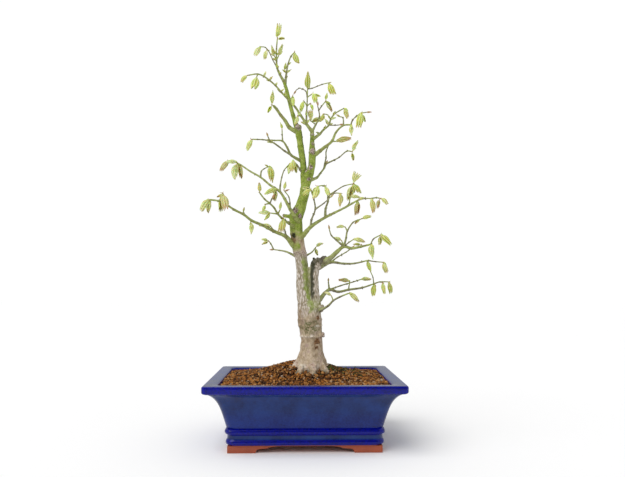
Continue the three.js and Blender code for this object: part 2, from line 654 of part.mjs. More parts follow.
        [twig(2, 255, [0.7, 0.7], [[7, -1]], [leaf(-110, 12, 0.3)])]),
      twig(3, 130, [0.7, 0.7], [[5, 8]], [leaf(108, 13, 0.15)]),
      twig(3, 330, [0.7, 0.7], [[4, 7]], [leaf(80, 14, 0.2)]),
    ]),
  shoot_apex_right: limb([-29, 1, 505], 30, [1.4, 0.8],
    [[2, 17], [4, 30, -1], [8, 42, -2], [13, 49, -3]],
    [leaf(-78, 18, 0.3)],
    [twig(1, 160, [0.8, 0.7], [[3, 3]], [leaf(85, 10, 0.2)])]),
};

// World points of a stem from its parent's point.
function routeOf(start, stem) {
  const turn = THREE.MathUtils.degToRad(stem.bearing);
  const out = vector(Math.cos(turn), Math.sin(turn), 0);
  const aside = vector(-Math.sin(turn), Math.cos(turn), 0);
  const route = [start.clone()];
  for (const [reach, up, offset = 0] of stem.path) {
    route.push(
      start.clone()
        .addScaledVector(out, reach)
        .addScaledVector(aside, offset)
        .add(vector(0, 0, up)),
    );
  }
  return route;
}

// Adds the leaves at a stem's end, its twigs, and theirs in turn.
// Leaves that share an end stand apart from front to back, each facing away from the others.
function growFrom(stem, route, solids, random) {
  const end = route.at(-1);
  const heading = end.clone().sub(route.at(-2)).normalize();
  stem.grows.forEach((growth, k) => {
    const angle = THREE.MathUtils.degToRad(growth.angle);
    const shift = (k - (stem.grows.length - 1) / 2) * leafSpacing;
    const along = vector(Math.cos(angle), shift * 0.05 + (random() - 0.5) * 0.3, Math.sin(angle)).normalize();
    const turn = (random() - 0.5) * 1.6;
    const outward = shift > 0 ? 1 : -1;
    const face = vector(Math.sin(turn), outward * Math.cos(turn), 0.1);
    face.addScaledVector(along, -face.dot(along)).normalize();
    const start = end.clone().addScaledVector(heading, -0.8);
    if (growth.spread === 0) {
      solids.push(solidOf(budSkin(start, along, growth.length + 0.8)));
      return;
    }
    const knee = end.clone().add(vector(0, shift * 0.6, 0)).addScaledVector(heading, 0.8);
    const base = end.clone().add(vector(0, shift, 0)).addScaledVector(along, 1.8);
    const stalk = shift === 0 ? [start, base] : [start, knee, base];
    const lobes = growth.length > smallLeaf ? 5 : 3;
    solids.push(solidOf(leafSkin(stalk, along, face, growth.length - 1, growth.spread, lobes)));
  });
  for (const child of stem.twigs) {
    const childRoute = routeOf(route[child.at], child);
    const curve = new THREE.CatmullRomCurve3(childRoute, false, "centripetal");
    const [thick, thin] = child.radii;
    const steps = Math.max(1, Math.min(6, Math.round(curve.getLength() / 12)));
    const sides = thick > 1 ? 4 : 3;
    solids.push(
      solidOf(stemSkin(curve, 0, 1, steps, sides, (share) => thick + (thin - thick) * share)),
    );
    growFrom(child, childRoute, solids, random);
  }
}

// A limb's curve, the collar that the trunk holds out to it, and the limb itself.
function limbPieces(stem, random) {
  const route = routeOf(vector(...stem.root), stem);
  const curve = new THREE.CatmullRomCurve3(route, false, "centripetal");
  const length = curve.getLength();
  const [thick, thin] = stem.radii;
  const radiusAt = (share) => thick + (thin - thick) * share;
  const collarEnd = collarLength / length;
  const limbStart = (collarLength + seat) / length;
  const steps = Math.max(2, Math.min(11, Math.round(length / 12)));
  const sides = thick > 2 ? 6 : 5;
  const solids = [solidOf(stemSkin(curve, limbStart, 1, steps, sides, radiusAt))];
  growFrom(stem, route, solids, random);
  const inward = curve.getTangentAt(0).multiplyScalar(-1);
  const trunkMiddle = vector(...trunkPointAt(route[0], inward));
  const collarCurve = new THREE.LineCurve3(trunkMiddle, curve.getPointAt(collarEnd));
  const collar = solidOf(
    stemSkin(collarCurve, 0, 1, 1, sides, (share) => radiusAt(0) * (share < 0.5 ? 1.5 : 1.12)),
  );
  return { limb: fuse(solids), collar };
}

// A point inside the wood, behind where a limb leaves it.
function trunkPointAt(root, inward) {
  const depth = 5;
  return root.clone().addScaledVector(inward, depth).toArray();
}

const random = randomSource(seedOfGrowth * 31);
const woodParts = [
  solidOf(woodSkin(trunkLine, woodSides, 0, true)),
  solidOf(woodSkin(firstLeaderLine, leaderSides, 0, false)),
  solidOf(woodSkin(stumpLine, stumpSides, 0, true)),
  solidOf(woodSkin(secondLeaderLine, leaderSides, 0, false)),
];
for (const [start, end, radius] of cuts) {
  const curve = new THREE.LineCurve3(vector(...start), vector(...end));
  woodParts.push(solidOf(stemSkin(curve, 0, 1, 1, 7, (share) => radius * (1.15 - 0.3 * share))));
}
const limbSolids = new Map();
for (const [name, stem] of Object.entries(limbs)) {
  const { limb: body, collar } = limbPieces(stem, random);
  limbSolids.set(name, body);
  woodParts.push(collar);
}

const group = new THREE.Group();
group.name = "maple_bonsai";

function addPiece(name, solid, colour, roughness, metalness = 0) {
  const material = new THREE.MeshStandardMaterial({ color: colour, roughness, metalness });
  const mesh = new THREE.Mesh(geometryOf(solid), material);
  mesh.name = name;
  group.add(mesh);
}

const holeLine = trunkLine.filter(([height]) => height < 130).map((row) => [...row]);
holeLine[0][0] -= seat;
addPiece("pot", potSolid(), colours.glaze, 0.2);
addPiece("drain_screen_left", screenSolid(-1), colours.screen, 0.6);
addPiece("drain_screen_right", screenSolid(1), colours.screen, 0.6);
addPiece("soil", soilSolid(solidOf(woodSkin(holeLine, woodSides, seat, true))), colours.soil, 0.95);
addPiece("trunk", fuse(woodParts), colours.bark, 0.85);
for (const [name, solid] of limbSolids) addPiece(name, solid, colours.green, 0.7);

export default group;
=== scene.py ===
"""A young-leaved Japanese maple bonsai in its blue-glazed pot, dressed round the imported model.

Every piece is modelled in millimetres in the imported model's own frame, with the ground at zero, the front
at -Y and the middle of the pot at the origin. add_piece scales it to metres once.
"""
import math
import random

import bmesh
import bpy
from mathutils import Matrix, Vector, noise


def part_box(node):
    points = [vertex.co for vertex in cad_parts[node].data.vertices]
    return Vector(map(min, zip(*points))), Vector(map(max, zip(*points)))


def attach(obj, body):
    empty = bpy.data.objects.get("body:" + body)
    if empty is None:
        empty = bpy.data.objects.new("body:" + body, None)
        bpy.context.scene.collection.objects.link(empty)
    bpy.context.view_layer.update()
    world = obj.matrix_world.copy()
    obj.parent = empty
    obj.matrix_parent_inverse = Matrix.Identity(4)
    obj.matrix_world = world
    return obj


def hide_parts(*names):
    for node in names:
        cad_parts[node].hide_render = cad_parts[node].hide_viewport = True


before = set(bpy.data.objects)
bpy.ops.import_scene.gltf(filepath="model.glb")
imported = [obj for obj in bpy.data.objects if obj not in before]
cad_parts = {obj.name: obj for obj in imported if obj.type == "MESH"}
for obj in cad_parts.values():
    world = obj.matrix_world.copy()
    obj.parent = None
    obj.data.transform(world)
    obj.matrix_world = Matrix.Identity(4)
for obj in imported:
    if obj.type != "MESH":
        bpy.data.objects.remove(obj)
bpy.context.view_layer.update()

bl_info = {
    "name": "Maple bonsai",
    "version": (1, 0, 0),
    "blender": (4, 5, 0),
    "location": "3D View > Sidebar > Maple",
    "description": "Builds a potted Japanese maple bonsai with opening leaves",
    "category": "Add Mesh",
}

MM = 0.001
POT_LOW, POT_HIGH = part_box("pot")
UP = Vector((0, 0, 1))

# A Mix node's colour sockets, and what makes it blend colours.
MIX_A, MIX_B = 6, 7
COLOURS = {"out": 2, "data_type": "RGBA"}

# Pot. Insets are measured from the lip's edge, and a corner grows rounder with its inset. The glaze starts at
# one height outside and ends at another inside. Each leg of a foot is its flat and the curve behind it.
RIM_CORNER = 4.0
CORNER_GROWTH = 0.32
CORNER_STEPS, SIDE_STEPS = 8, 10
FLOOR_TOP = 16.0
GLAZE_START, GLAZE_END = 8.9, 73.0
FOOT_TALL = 8.1
FOOT_INSET = 29.5
FOOT_THICK = 13.0
LONG_LEG, SHORT_LEG = (35, 30), (28, 25)
FOOT_CURVE = ((0.32, 0.64), (0.52, 0.7), (0.6, 0.86), (0.78, 0.94))
FOOT_SINK, FOOT_EASE = 0.4, 0.8
DRAIN_RADIUS = 11.0
DRAIN_X = 45.0
# The angles from which an edge of a foot is eased, and from which an edge is shaded as sharp.
KEEN, SHARP = math.radians(50), math.radians(35)
# The holes across a drain screen, and how much of a hole's width its strands take.
SCREEN_HOLES, STRAND = 12, 0.36

# Soil: its even height, its mound, the clear ring round the trunk, the sunk bed under the grains, and how many
# times a place is tried for a grain, a tuft or a dead twig.
SOIL_EDGE = 81.0
MOUND_RISE = 23.0
MOUND = Vector((-3.0, 10.0))
MOUND_SPREAD_X = 46.0
MOUND_SPREAD_FRONT, MOUND_SPREAD_BACK = 30.0, 44.0
LIP_WIDTH = 17.0
TRUNK_X, TRUNK_REACH = 7, 21
# The bed is tinted nearly black, as damp clay and as painted shade in the gaps between the grains.
BED_DEPTH, BED_SHADE_TINT = 2.2, 0.06
STRIP_LENGTH = 90
GRAIN_TRIES, FINE_TRIES = 26000, 9000
TUFT_TRIES, DEAD_TWIGS = 260, 16
SOIL_SEED, ROOT_SEED = 11, 5

# Growth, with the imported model's seed and spacing so that every leaf comes out in the same place.
SEED_OF_GROWTH = 7
LEAF_SPACING = 7.0
SMALL_LEAF = 12.0
LEAF_STRETCH = 1.28
WOOD_STRETCH = 1.06
BASE_SWELL = 0.55
NODE_SPACING = 17.0
BURIED = 5.0
# Above this height the stout stems also bear late leaves beside their nodes.
LATE_LEAVES = 425
# A lobe is joined to its neighbours for this share of its length, and its mesh has these faces across and along.
JOINED = 0.56
LOBE_FACES = (4, 11)

# Stage, in metres. The lens sees the backdrop brighter than the tree does, so that it stays white.
BACKDROP_STRENGTH = 1.02
FLOOR_RADIUS, FLOOR_DROP = 12.0, 0.0002
CARD_HALF, CARD_PLACE = 1.5, (0, -1.6, 1.2)
KEY_WAY = Vector((0.55, 0.5, -1.0))
KEY_ANGLE = 50
LENS = 33.2
CAMERA_PLACE = (-0.00675, -0.818, 0.2018)
CAMERA_TURN = (math.pi / 2 + 0.0925, 0, -0.0215)


def linear(colour):
    """An sRGB hex value as linear red, green, blue and alpha."""
    parts = [int(colour[i:i + 2], 16) / 255 for i in (1, 3, 5)]
    return (*(p / 12.92 if p <= 0.04045 else ((p + 0.055) / 1.055) ** 2.4 for p in parts), 1.0)


def pattern_scale(size):
    """The scale that makes a pattern's cells about size millimetres wide."""
    return 1 / (size * MM)


def smooth_step(value, low, high):
    """0 below low, 1 above high and a soft rise between them."""
    share = max(0.0, min(1.0, (value - low) / (high - low)))
    return share * share * (3 - 2 * share)


def band(value, middle, width):
    """1 at the middle and a soft fall to both sides over about a width."""
    return math.exp(-(((value - middle) / width) ** 2))


def lump(place, size, seed=0.0):
    """Smooth noise from -1 to 1 whose lumps are about size millimetres wide."""
    return noise.noise(place / size + Vector((seed, seed * 1.7, -seed)))


# Settings that a user would change.

def size_setting(name, description, default):
    """A length that the panel shows in the scene's unit."""
    return bpy.props.FloatProperty(name=name, description=description, unit="LENGTH", default=default)


def colour_setting(name, description, default):
    """A colour, given as an sRGB hex value."""
    return bpy.props.FloatVectorProperty(
        name=name, description=description, subtype="COLOR", size=4, default=linear(default), min=0, max=1)


class MaplePotSettings(bpy.types.PropertyGroup):
    """Sizes and colours of the pot."""

    wide: size_setting("Width", "Width of the lip", POT_HIGH.x - POT_LOW.x)
    deep: size_setting("Depth", "Depth of the lip", POT_HIGH.y - POT_LOW.y)
    tall: size_setting("Height", "Height of the lip", POT_HIGH.z)
    glaze: colour_setting("Glaze", "Colour of the glaze where it is thick", "#020a8c")
    # The thin glaze colour also stands for painted shade and the floor's painted reflection on the flared wall.
    thin_shaded_glaze: colour_setting("Thin glaze", "Colour of the glaze where it ran thin", "#182c60")
    clay: colour_setting("Clay", "Colour of the unglazed body", "#b0583c")


class MapleSoilSettings(bpy.types.PropertyGroup):
    """Sizes of the soil's grains."""

    grain: size_setting("Grain", "Mean width of the large grains", 4.7 * MM)
    fine: size_setting("Fine grain", "Mean width of the small grains", 2.9 * MM)


class MapleTreeSettings(bpy.types.PropertyGroup):
    """Sizes and colours of the tree."""

    skin: size_setting("Bark mesh", "Width of a face of the bark", 0.8 * MM)
    blade: size_setting("Blade", "Thickness of a leaf blade", 0.3 * MM)
    shoot: colour_setting("Green bark", "Colour of young bark", "#8ba039")
    leaf: colour_setting("Leaf", "Colour of an opening leaf", "#dce26a")
    tip: colour_setting("Leaf tip", "Colour of a leaf's tips and edges", "#b3695a")


class MapleStageSettings(bpy.types.PropertyGroup):
    """Light and backdrop."""

    floor: colour_setting("Floor", "Colour of the floor", "#fbfbfb")
    sky: bpy.props.FloatProperty(
        name="Soft light", description="Strength of the even light from all round", default=0.62, min=0)
    key: bpy.props.FloatProperty(
        name="Key light", description="Strength of the broad lamp above the left shoulder", default=1.75, min=0)


# Materials.

def add_node(tree, kind, inputs=(), stops=(), out=0, **settings):
    """Adds a shader node with its settings and returns the output that is used. A list of inputs fills the
    sockets from the first on. An input is linked if it is a socket, and set otherwise."""
    node = tree.nodes.new("ShaderNode" + kind)
    for name, value in settings.items():
        setattr(node, name, value)
    for name, value in inputs.items() if isinstance(inputs, dict) else enumerate(inputs):
        if isinstance(value, bpy.types.NodeSocket):
            tree.links.new(value, node.inputs[name])
        else:
            node.inputs[name].default_value = linear(value) if isinstance(value, str) else value
    if stops:
        elements = node.color_ramp.elements
        while len(elements) < len(stops):
            elements.new(0.5)
        for element, (position, colour) in zip(elements, stops):
            element.position = position
            element.color = linear(colour) if isinstance(colour, str) else colour
    return node.outputs[out]


def new_material(name, constants):
    """A material, its tree, its shader's sockets with the constants set, and the place on the object."""
    material = bpy.data.materials.new(name)
    material.use_nodes = True
    tree = material.node_tree
    sockets = tree.nodes["Principled BSDF"].inputs
    for socket, value in constants.items():
        sockets[socket].default_value = value
    return material, tree, sockets, add_node(tree, "TexCoord", out="Object")


def finish(tree, sockets, colour, height=None, strength=0.5, depth=0.3):
    """Gives the shader its colour and, where there is a height, a relief that many millimetres deep."""
    tree.links.new(colour, sockets["Base Color"])
    if height:
        relief = add_node(tree, "Bump", {"Strength": strength, "Distance": depth * MM, "Height": height})
        tree.links.new(relief, sockets["Normal"])


def glazed_stoneware(settings):
    """Stoneware under a fired cobalt glaze: glassy, thin and dull on the flared wall, deep on lip and bands. The
    thin, dull colour is also painted shade and the floor's painted reflection on the wall, in the groove and on the
    rim's top.
    """
    material, tree, sockets, place = new_material("glazed_stoneware", {"IOR": 1.46, "Specular IOR Level": 0.32})
    glaze_depth_and_shade = add_node(tree, "Attribute", out="Fac", attribute_name="glaze_depth_and_shade")
    cloud, mottle, ripple = (
        add_node(tree, "TexNoise", {
            "Vector": place, "Scale": pattern_scale(size), "Detail": detail, "Roughness": rough})
        for size, detail, rough in ((24, 4, 0.6), (2.2, 5, 0.7), (6, 3, 0.5)))
    run = add_node(tree, "Math", [mottle, 0.5, glaze_depth_and_shade], operation="MULTIPLY_ADD")
    depth = add_node(tree, "MapRange", [run, 0.25, 1.15])
    streaks = add_node(tree, "MapRange", [mottle, 0.4, 0.66])
    clouds = add_node(tree, "MapRange", [cloud, 0.38, 0.66])
    thin = settings.thin_shaded_glaze
    for share, shade in ((streaks, "#17244f"), (clouds, "#1d3876")):
        thin = add_node(tree, "Mix", {0: share, MIX_A: thin, MIX_B: shade}, **COLOURS)
    thick = add_node(tree, "Mix", {0: streaks, MIX_A: settings.glaze, MIX_B: "#02084f"}, **COLOURS)
    colour = add_node(tree, "Mix", {0: depth, MIX_A: thin, MIX_B: thick}, **COLOURS)
    tree.links.new(add_node(tree, "MapRange", [cloud, 0, 1, 0.12, 0.3]), sockets["Roughness"])
    finish(tree, sockets, colour, ripple, 0.35, 0.3)
    return material


def bare_clay(settings):
    """Red stoneware clay left without glaze on the feet and the base: matt, gritty and a little stained."""
    material, tree, sockets, place = new_material("bare_clay", {"Roughness": 0.88})
    stain, grit = (
        add_node(tree, "TexNoise", {"Vector": place, "Scale": pattern_scale(size), "Detail": detail})
        for size, detail in ((14, 5), (0.9, 2)))
    dust = add_node(tree, "MapRange", [grit, 0.6, 0.9, 0, 0.6])
    colour = settings.clay
    for share, shade in ((stain, "#8f4a34"), (dust, "#cf957a")):
        colour = add_node(tree, "Mix", {0: share, MIX_A: colour, MIX_B: shade}, **COLOURS)
    finish(tree, sockets, colour, grit, 0.5, 0.3)
    return material


def moulded_plastic():
    """Drain mesh moulded in black polyethylene: even, slightly waxy."""
    material, tree, sockets, place = new_material("moulded_polyethylene", {"Roughness": 0.55, "IOR": 1.5})
    haze = add_node(tree, "TexNoise", {"Vector": place, "Scale": pattern_scale(3)})
    finish(tree, sockets, add_node(tree, "Mix", {0: haze, MIX_A: "#26292a", MIX_B: "#34383a"}, **COLOURS))
    return material


def akadama():
    """Fired clay soil: soft, matt grains from tan to rust, each its own colour, with damp dark sides."""
    material, tree, sockets, place = new_material("akadama_clay", {"Roughness": 0.95, "Specular IOR Level": 0.25})
    grain = add_node(tree, "Attribute", out="Fac", attribute_name="tint")
    tone = add_node(tree, "ValToRGB", [grain], [
        (0.0, "#17110b"), (0.14, "#3e2816"), (0.3, "#744722"), (0.54, "#a9692a"), (0.78, "#c98a42"),
        (0.93, "#c89c68"), (1.0, "#bba793")])
    dirt = add_node(tree, "TexNoise", {
        "Vector": place, "Scale": pattern_scale(1.5), "Detail": 4, "Roughness": 0.65})
    darkening = add_node(tree, "MapRange", [dirt, 0.36, 0.62, 0.85, 0])
    colour = add_node(tree, "Mix", {0: darkening, MIX_A: tone, MIX_B: "#4f3018"}, **COLOURS)
    finish(tree, sockets, colour, dirt, 0.7, 0.4)
    return material


def moss():
    """Dark moss and rotted scraps round the foot of the trunk: matt, nearly black in the hollows."""
    material, tree, sockets, place = new_material("moss_and_scraps", {"Roughness": 1.0, "Specular IOR Level": 0.2})
    patch = add_node(tree, "TexNoise", {"Vector": place, "Scale": pattern_scale(4), "Detail": 4})
    finish(tree, sockets, add_node(tree, "ValToRGB", [patch], [
        (0.3, "#17150f"), (0.48, "#39351c"), (0.66, "#5d6a2c")]))
    return material


def maple_bark(settings):
    """Living maple bark: smooth and green above, greyed and finely cracked below, pale where it was cut."""
    material, tree, sockets, place = new_material("maple_bark", {"Roughness": 0.8, "Specular IOR Level": 0.3})
    upright = add_node(tree, "Mapping", {"Vector": place, "Scale": (1.0, 1.0, 0.3)})
    zone = {
        name: add_node(tree, "Attribute", out="Fac", attribute_name=name)
        for name in ("green", "speckle", "scar", "dark", "algae", "brown", "pale")}
    patch, grain, crumb = (
        add_node(tree, "TexNoise", {
            "Vector": where, "Scale": pattern_scale(size), "Detail": detail, "Roughness": rough})
        for where, size, detail, rough in ((place, 9, 6, 0.65), (upright, 1.4, 5, 0.7), (place, 1.9, 4, 0.6)))
    fleck = add_node(tree, "TexVoronoi", {"Vector": upright, "Scale": pattern_scale(1.5)}, out="Distance")
    # Beige old bark with pinkish-grey and brown patches, grey bark with pale flecks and dark cracks, green
    # bark that is olive in the hollows, crumbling brown bark and healed cuts.
    old, flecks, living, rust, cut = (
        add_node(tree, "ValToRGB", [pattern], stops) for pattern, stops in (
            (patch, [(0.3, "#8f7a5e"), (0.42, "#b5a287"), (0.52, "#c9b89e"), (0.62, "#c2ab9d"), (0.74, "#a58a72")]),
            (fleck, [(0.0, "#efe9e2"), (0.25, "#d3c9be"), (0.5, "#b3a795"), (0.8, "#85785f")]),
            (patch, [(0.32, "#647426"), (0.5, settings.shoot), (0.68, "#a9b75a")]),
            (crumb, [(0.38, "#4b3220"), (0.52, "#7d5a38"), (0.66, "#a3815c")]),
            (crumb, [(0.38, "#5d4a3b"), (0.48, "#937f76"), (0.58, "#b9a7a0"), (0.7, "#ded3cd")])))
    # shade darkens the green bark to olive where its grain is low: painted shade in the hollows of the relief.
    streak, pores, shade, film = (add_node(tree, "MapRange", limits) for limits in (
        [grain, 0.36, 0.56, 0.75, 0], [crumb, 0.54, 0.7, 0, 0.7], [grain, 0.32, 0.48, 0.6, 0],
        [crumb, 0.6, 0.44, 0, 1]))
    algae = add_node(tree, "Math", [zone["algae"], film], operation="MULTIPLY")
    for share, tone in ((pores, "#b9a98a"), (shade, "#5b5d2c")):
        living = add_node(tree, "Mix", {0: share, MIX_A: living, MIX_B: tone}, **COLOURS)
    # The dark zone's colour: painted shade in the cleft, the hollows and beside the second leader, and the darker top
    # and foot.
    dark_tone = add_node(tree, "Mix", {0: crumb, MIX_A: "#100e08", MIX_B: "#3c4220"}, **COLOURS)
    colour = old
    for share, tone in (
        (streak, "#8a7259"), (zone["speckle"], flecks), (zone["green"], living), (zone["brown"], rust),
        (algae, "#5d6335"), (zone["pale"], "#e0d6c6"), (zone["scar"], cut), (zone["dark"], dark_tone),
    ):
        colour = add_node(tree, "Mix", {0: share, MIX_A: colour, MIX_B: tone}, **COLOURS)
    finish(tree, sockets, colour, add_node(tree, "Math", [grain, crumb], operation="ADD"), 0.8, 0.5)
    return material


def twig_bark():
    """Thin maple twigs: olive-grey where a year old, fresh green to pinkish at the new ends, dark at the nodes."""
    material, tree, sockets, place = new_material(
        "maple_twig_bark", {"Roughness": 0.6, "Specular IOR Level": 0.4})
    fresh, knot, upper = (
        add_node(tree, "Attribute", out="Fac", attribute_name=name) for name in ("fresh", "knot", "upper"))
    patch, grain = (
        add_node(tree, "TexNoise", {"Vector": place, "Scale": pattern_scale(size), "Detail": detail})
        for size, detail in ((5, 4), (0.7, 3)))
    old = add_node(tree, "ValToRGB", [patch], [(0.32, "#6f6650"), (0.5, "#857f68"), (0.68, "#a09a88")])
    new = add_node(tree, "ValToRGB", [patch], [(0.34, "#94904c"), (0.46, "#95a446"), (0.66, "#abbb5a")])
    # The upper side is greener, partly as young bark and partly as painted light from above.
    sunny = add_node(tree, "Math", [grain, 0.6, upper], operation="MULTIPLY_ADD")
    top = add_node(tree, "MapRange", [sunny, 0.5, 1.15, 0, 0.75])
    green = add_node(tree, "Math", [top, fresh], operation="MAXIMUM")
    pores = add_node(tree, "MapRange", [grain, 0.6, 0.75, 0, 0.5])
    colour = old
    for share, tone in ((green, new), (pores, "#b3aa84"), (knot, "#5b4c34")):
        colour = add_node(tree, "Mix", {0: share, MIX_A: colour, MIX_B: tone}, **COLOURS)
    finish(tree, sockets, colour, grain, 0.5, 0.2)
    return material


def leaf_blade(settings):
    """A maple leaf just out of the bud: soft, matt, pale yellow-green, pleated along its veins, edged in red."""
    material, tree, sockets, place = new_material("maple_leaf_blade", {
        "Roughness": 0.55, "Specular IOR Level": 0.35, "Subsurface Weight": 0.25, "Subsurface Scale": 1.5 * MM})
    lobe = add_node(tree, "UVMap", uv_map="lobe")
    across, along = (add_node(tree, "SeparateXYZ", [lobe], out=axis) for axis in "XY")
    patch = add_node(tree, "TexNoise", {"Vector": place, "Scale": pattern_scale(7), "Detail": 3})
    tone, blush = (add_node(tree, "Attribute", out="Fac", attribute_name=name) for name in ("tone", "blush"))
    # 0 on the midrib and 1 on the edge of the lobe.
    off_middle = add_node(tree, "Math", [across, 0.5], operation="SUBTRACT")
    to_edge = add_node(tree, "Math", [off_middle], operation="ABSOLUTE")
    edge = add_node(tree, "Math", [to_edge, 2.0], operation="MULTIPLY")
    # Side veins leave the midrib forwards, and the midrib is the palest line.
    slant = add_node(tree, "Math", [edge, -0.11, along], operation="MULTIPLY_ADD")
    ladder = add_node(tree, "Math", [slant, 0.045], operation="PINGPONG")
    # The red of the free edges and tips, stronger on some leaves.
    rim = add_node(tree, "Math", [edge, 0.4, 0.6], operation="MULTIPLY_ADD")
    # The lobe's edges, where the pleats fold in, are darker olive: painted shade in the creases.
    cloudy, vein, rib, crease_shade, end, less, flush = (add_node(tree, "MapRange", limits) for limits in (
        [patch, 0.35, 0.7], [ladder, 0, 0.016, 0.5, 0], [edge, 0.05, 0.3, 0.8, 0], [edge, 0.66, 1, 0, 0.6],
        [along, 0.6, 1], [blush, 0.35, 1, 0, 0.75], [blush, 0.7, 1, 0, 0.35]))
    red = add_node(tree, "Math", [rim, end], operation="MULTIPLY")
    red = add_node(tree, "Math", [red, less], operation="MULTIPLY")
    colour = add_node(tree, "ValToRGB", [tone], [
        (0.0, "#acb53a"), (0.22, settings.leaf), (0.5, "#f0f3b8"), (0.75, "#e4ea84"), (1.0, "#cadc22")])
    for share, shade in (
        (cloudy, "#b2bc4c"), (vein, "#9aa534"), (rib, "#f1f3c4"), (crease_shade, "#76841e"), (red, settings.tip),
        (flush, "#bb927a"),
    ):
        colour = add_node(tree, "Mix", {0: share, MIX_A: colour, MIX_B: shade}, **COLOURS)
    finish(tree, sockets, colour, ladder, 0.4, 0.15)
    return material


def leaf_stalk():
    """Leaf stalks and the scales of opened buds: thin, smooth, running from green into pink."""
    material, tree, sockets, place = new_material(
        "maple_leaf_stalk", {"Roughness": 0.5, "Specular IOR Level": 0.4})
    blush = add_node(tree, "Attribute", out="Fac", attribute_name="blush")
    patch = add_node(tree, "TexNoise", {"Vector": place, "Scale": pattern_scale(4), "Detail": 3})
    green, pink = (
        add_node(tree, "Mix", {0: patch, MIX_A: first, MIX_B: second}, **COLOURS)
        for first, second in (("#b3c25a", "#8ba23c"), ("#c98f76", "#a8604f")))
    finish(tree, sockets, add_node(tree, "Mix", {0: blush, MIX_A: green, MIX_B: pink}, **COLOURS))
    return material


def backdrop_paper(settings):
    """The floor: smooth matt card, pale and without a grain that would show."""
    material, tree, sockets, place = new_material("matt_card", {"Roughness": 0.95, "Specular IOR Level": 0.1})
    mottle = add_node(tree, "TexNoise", {"Vector": place, "Scale": pattern_scale(400)})
    finish(tree, sockets, add_node(tree, "Mix", {0: mottle, MIX_A: settings.floor, MIX_B: "#f9f9f9"}, **COLOURS))
    return material


# Mesh building.

# The knots between which neighbouring points of a curve are blended, pass by pass.
BLEND_SPANS = ((0, 1), (1, 2), (2, 3)), ((0, 2), (1, 3)), ((1, 2),)


def as_mesh(name, bm):
    """Turns a bmesh into a mesh."""
    mesh = bpy.data.meshes.new(name)
    bm.to_mesh(mesh)
    bm.free()
    return mesh


def as_object(name, data):
    """Links a mesh, lamp or camera into the scene as an object."""
    item = bpy.data.objects.new(name, data)
    bpy.context.scene.collection.objects.link(item)
    return item


def add_piece(name, bm, materials, nodes, smooth=True):
    """Turns a bmesh in millimetres into a finished piece that rides on the tree and stands for its nodes."""
    bmesh.ops.scale(bm, vec=(MM, MM, MM), verts=bm.verts)
    for face in bm.faces:
        face.smooth = smooth
    piece = as_object(name, as_mesh(name, bm))
    for material in materials:
        piece.data.materials.append(material)
    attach(piece, "root")
    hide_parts(*nodes)


def new_bmesh(*tints):
    """An empty bmesh with a corner number and the named tints on its vertices."""
    bm = bmesh.new()
    bm.verts.layers.int.new("corner")
    for tint in tints:
        bm.verts.layers.float.new(tint)
    return bm


def packed_copy(node, *tints):
    """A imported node's mesh as a bmesh in millimetres, with its loose triangles welded."""
    bm = new_bmesh(*tints)
    bm.from_mesh(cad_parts[node].data)
    bmesh.ops.scale(bm, vec=(1 / MM, 1 / MM, 1 / MM), verts=bm.verts)
    bmesh.ops.remove_doubles(bm, verts=bm.verts, dist=0.01)
    return bm


def append(bm, other):
    """Moves another bmesh's geometry into bm."""
    mesh = as_mesh("part", other)
    bm.from_mesh(mesh)
    bpy.data.meshes.remove(mesh)


def through_modifier(bm, kind, **settings):
    """The bmesh as a modifier leaves it."""
    mesh = as_mesh("rough", bm)
    rough = as_object("rough", mesh)
    modifier = rough.modifiers.new("work", kind)
    for name, value in settings.items():
        setattr(modifier, name, value)
    graph = bpy.context.evaluated_depsgraph_get()
    done = bpy.data.meshes.new_from_object(rough.evaluated_get(graph))
    result = bmesh.new()
    result.from_mesh(done)
    bpy.data.objects.remove(rough)
    for spent in (mesh, done):
        bpy.data.meshes.remove(spent)
    return result


def loft(bm, sides, rows, place):
    """Draws a closed ring of corners out through the rows. place(row, corner) says where a corner goes."""
    number = bm.verts.layers.int["corner"]
    ring = bmesh.ops.create_circle(bm, segments=sides, radius=1, cap_ends=True)["verts"]
    for corner, vert in enumerate(ring):
        vert[number] = corner
        vert.co = place(0, corner)
    edges = list({edge for vert in ring for edge in vert.link_edges})
    made = list(ring)
    for row in range(1, rows):
        out = bmesh.ops.extrude_edge_only(bm, edges=edges)["geom"]
        ring = {item for item in out if isinstance(item, bmesh.types.BMVert)}
        edges = [
            item for item in out if isinstance(item, bmesh.types.BMEdge) and ring.issuperset(item.verts)]
        for vert in ring:
            vert.co = place(row, vert[number])
        made.extend(ring)
    bmesh.ops.contextual_create(bm, geom=edges)
    return made


def sweep(bm, line, radii, sides, flat=1.0, facing=None):
    """A round stem along a line, closed at both ends. flat squeezes it and facing turns its broad side."""
    normals, tangents = [], []
    normal = facing or (UP if abs((line[1] - line[0]).normalized().z) < 0.9 else Vector((1, 0, 0)))
    for before, after in zip([line[0], *line], [*line[1:], line[-1]]):
        tangent = (after - before).normalized()
        normal = (normal - tangent * normal.dot(tangent)).normalized()
        tangents.append(tangent)
        normals.append(normal)

    def place(row, corner):
        angle = corner / sides * math.tau
        other = tangents[row].cross(normals[row])
        offset = normals[row] * math.cos(angle) * flat + other * math.sin(angle)
        return line[row] + offset * radii[row]

    return loft(bm, sides, len(line), place)


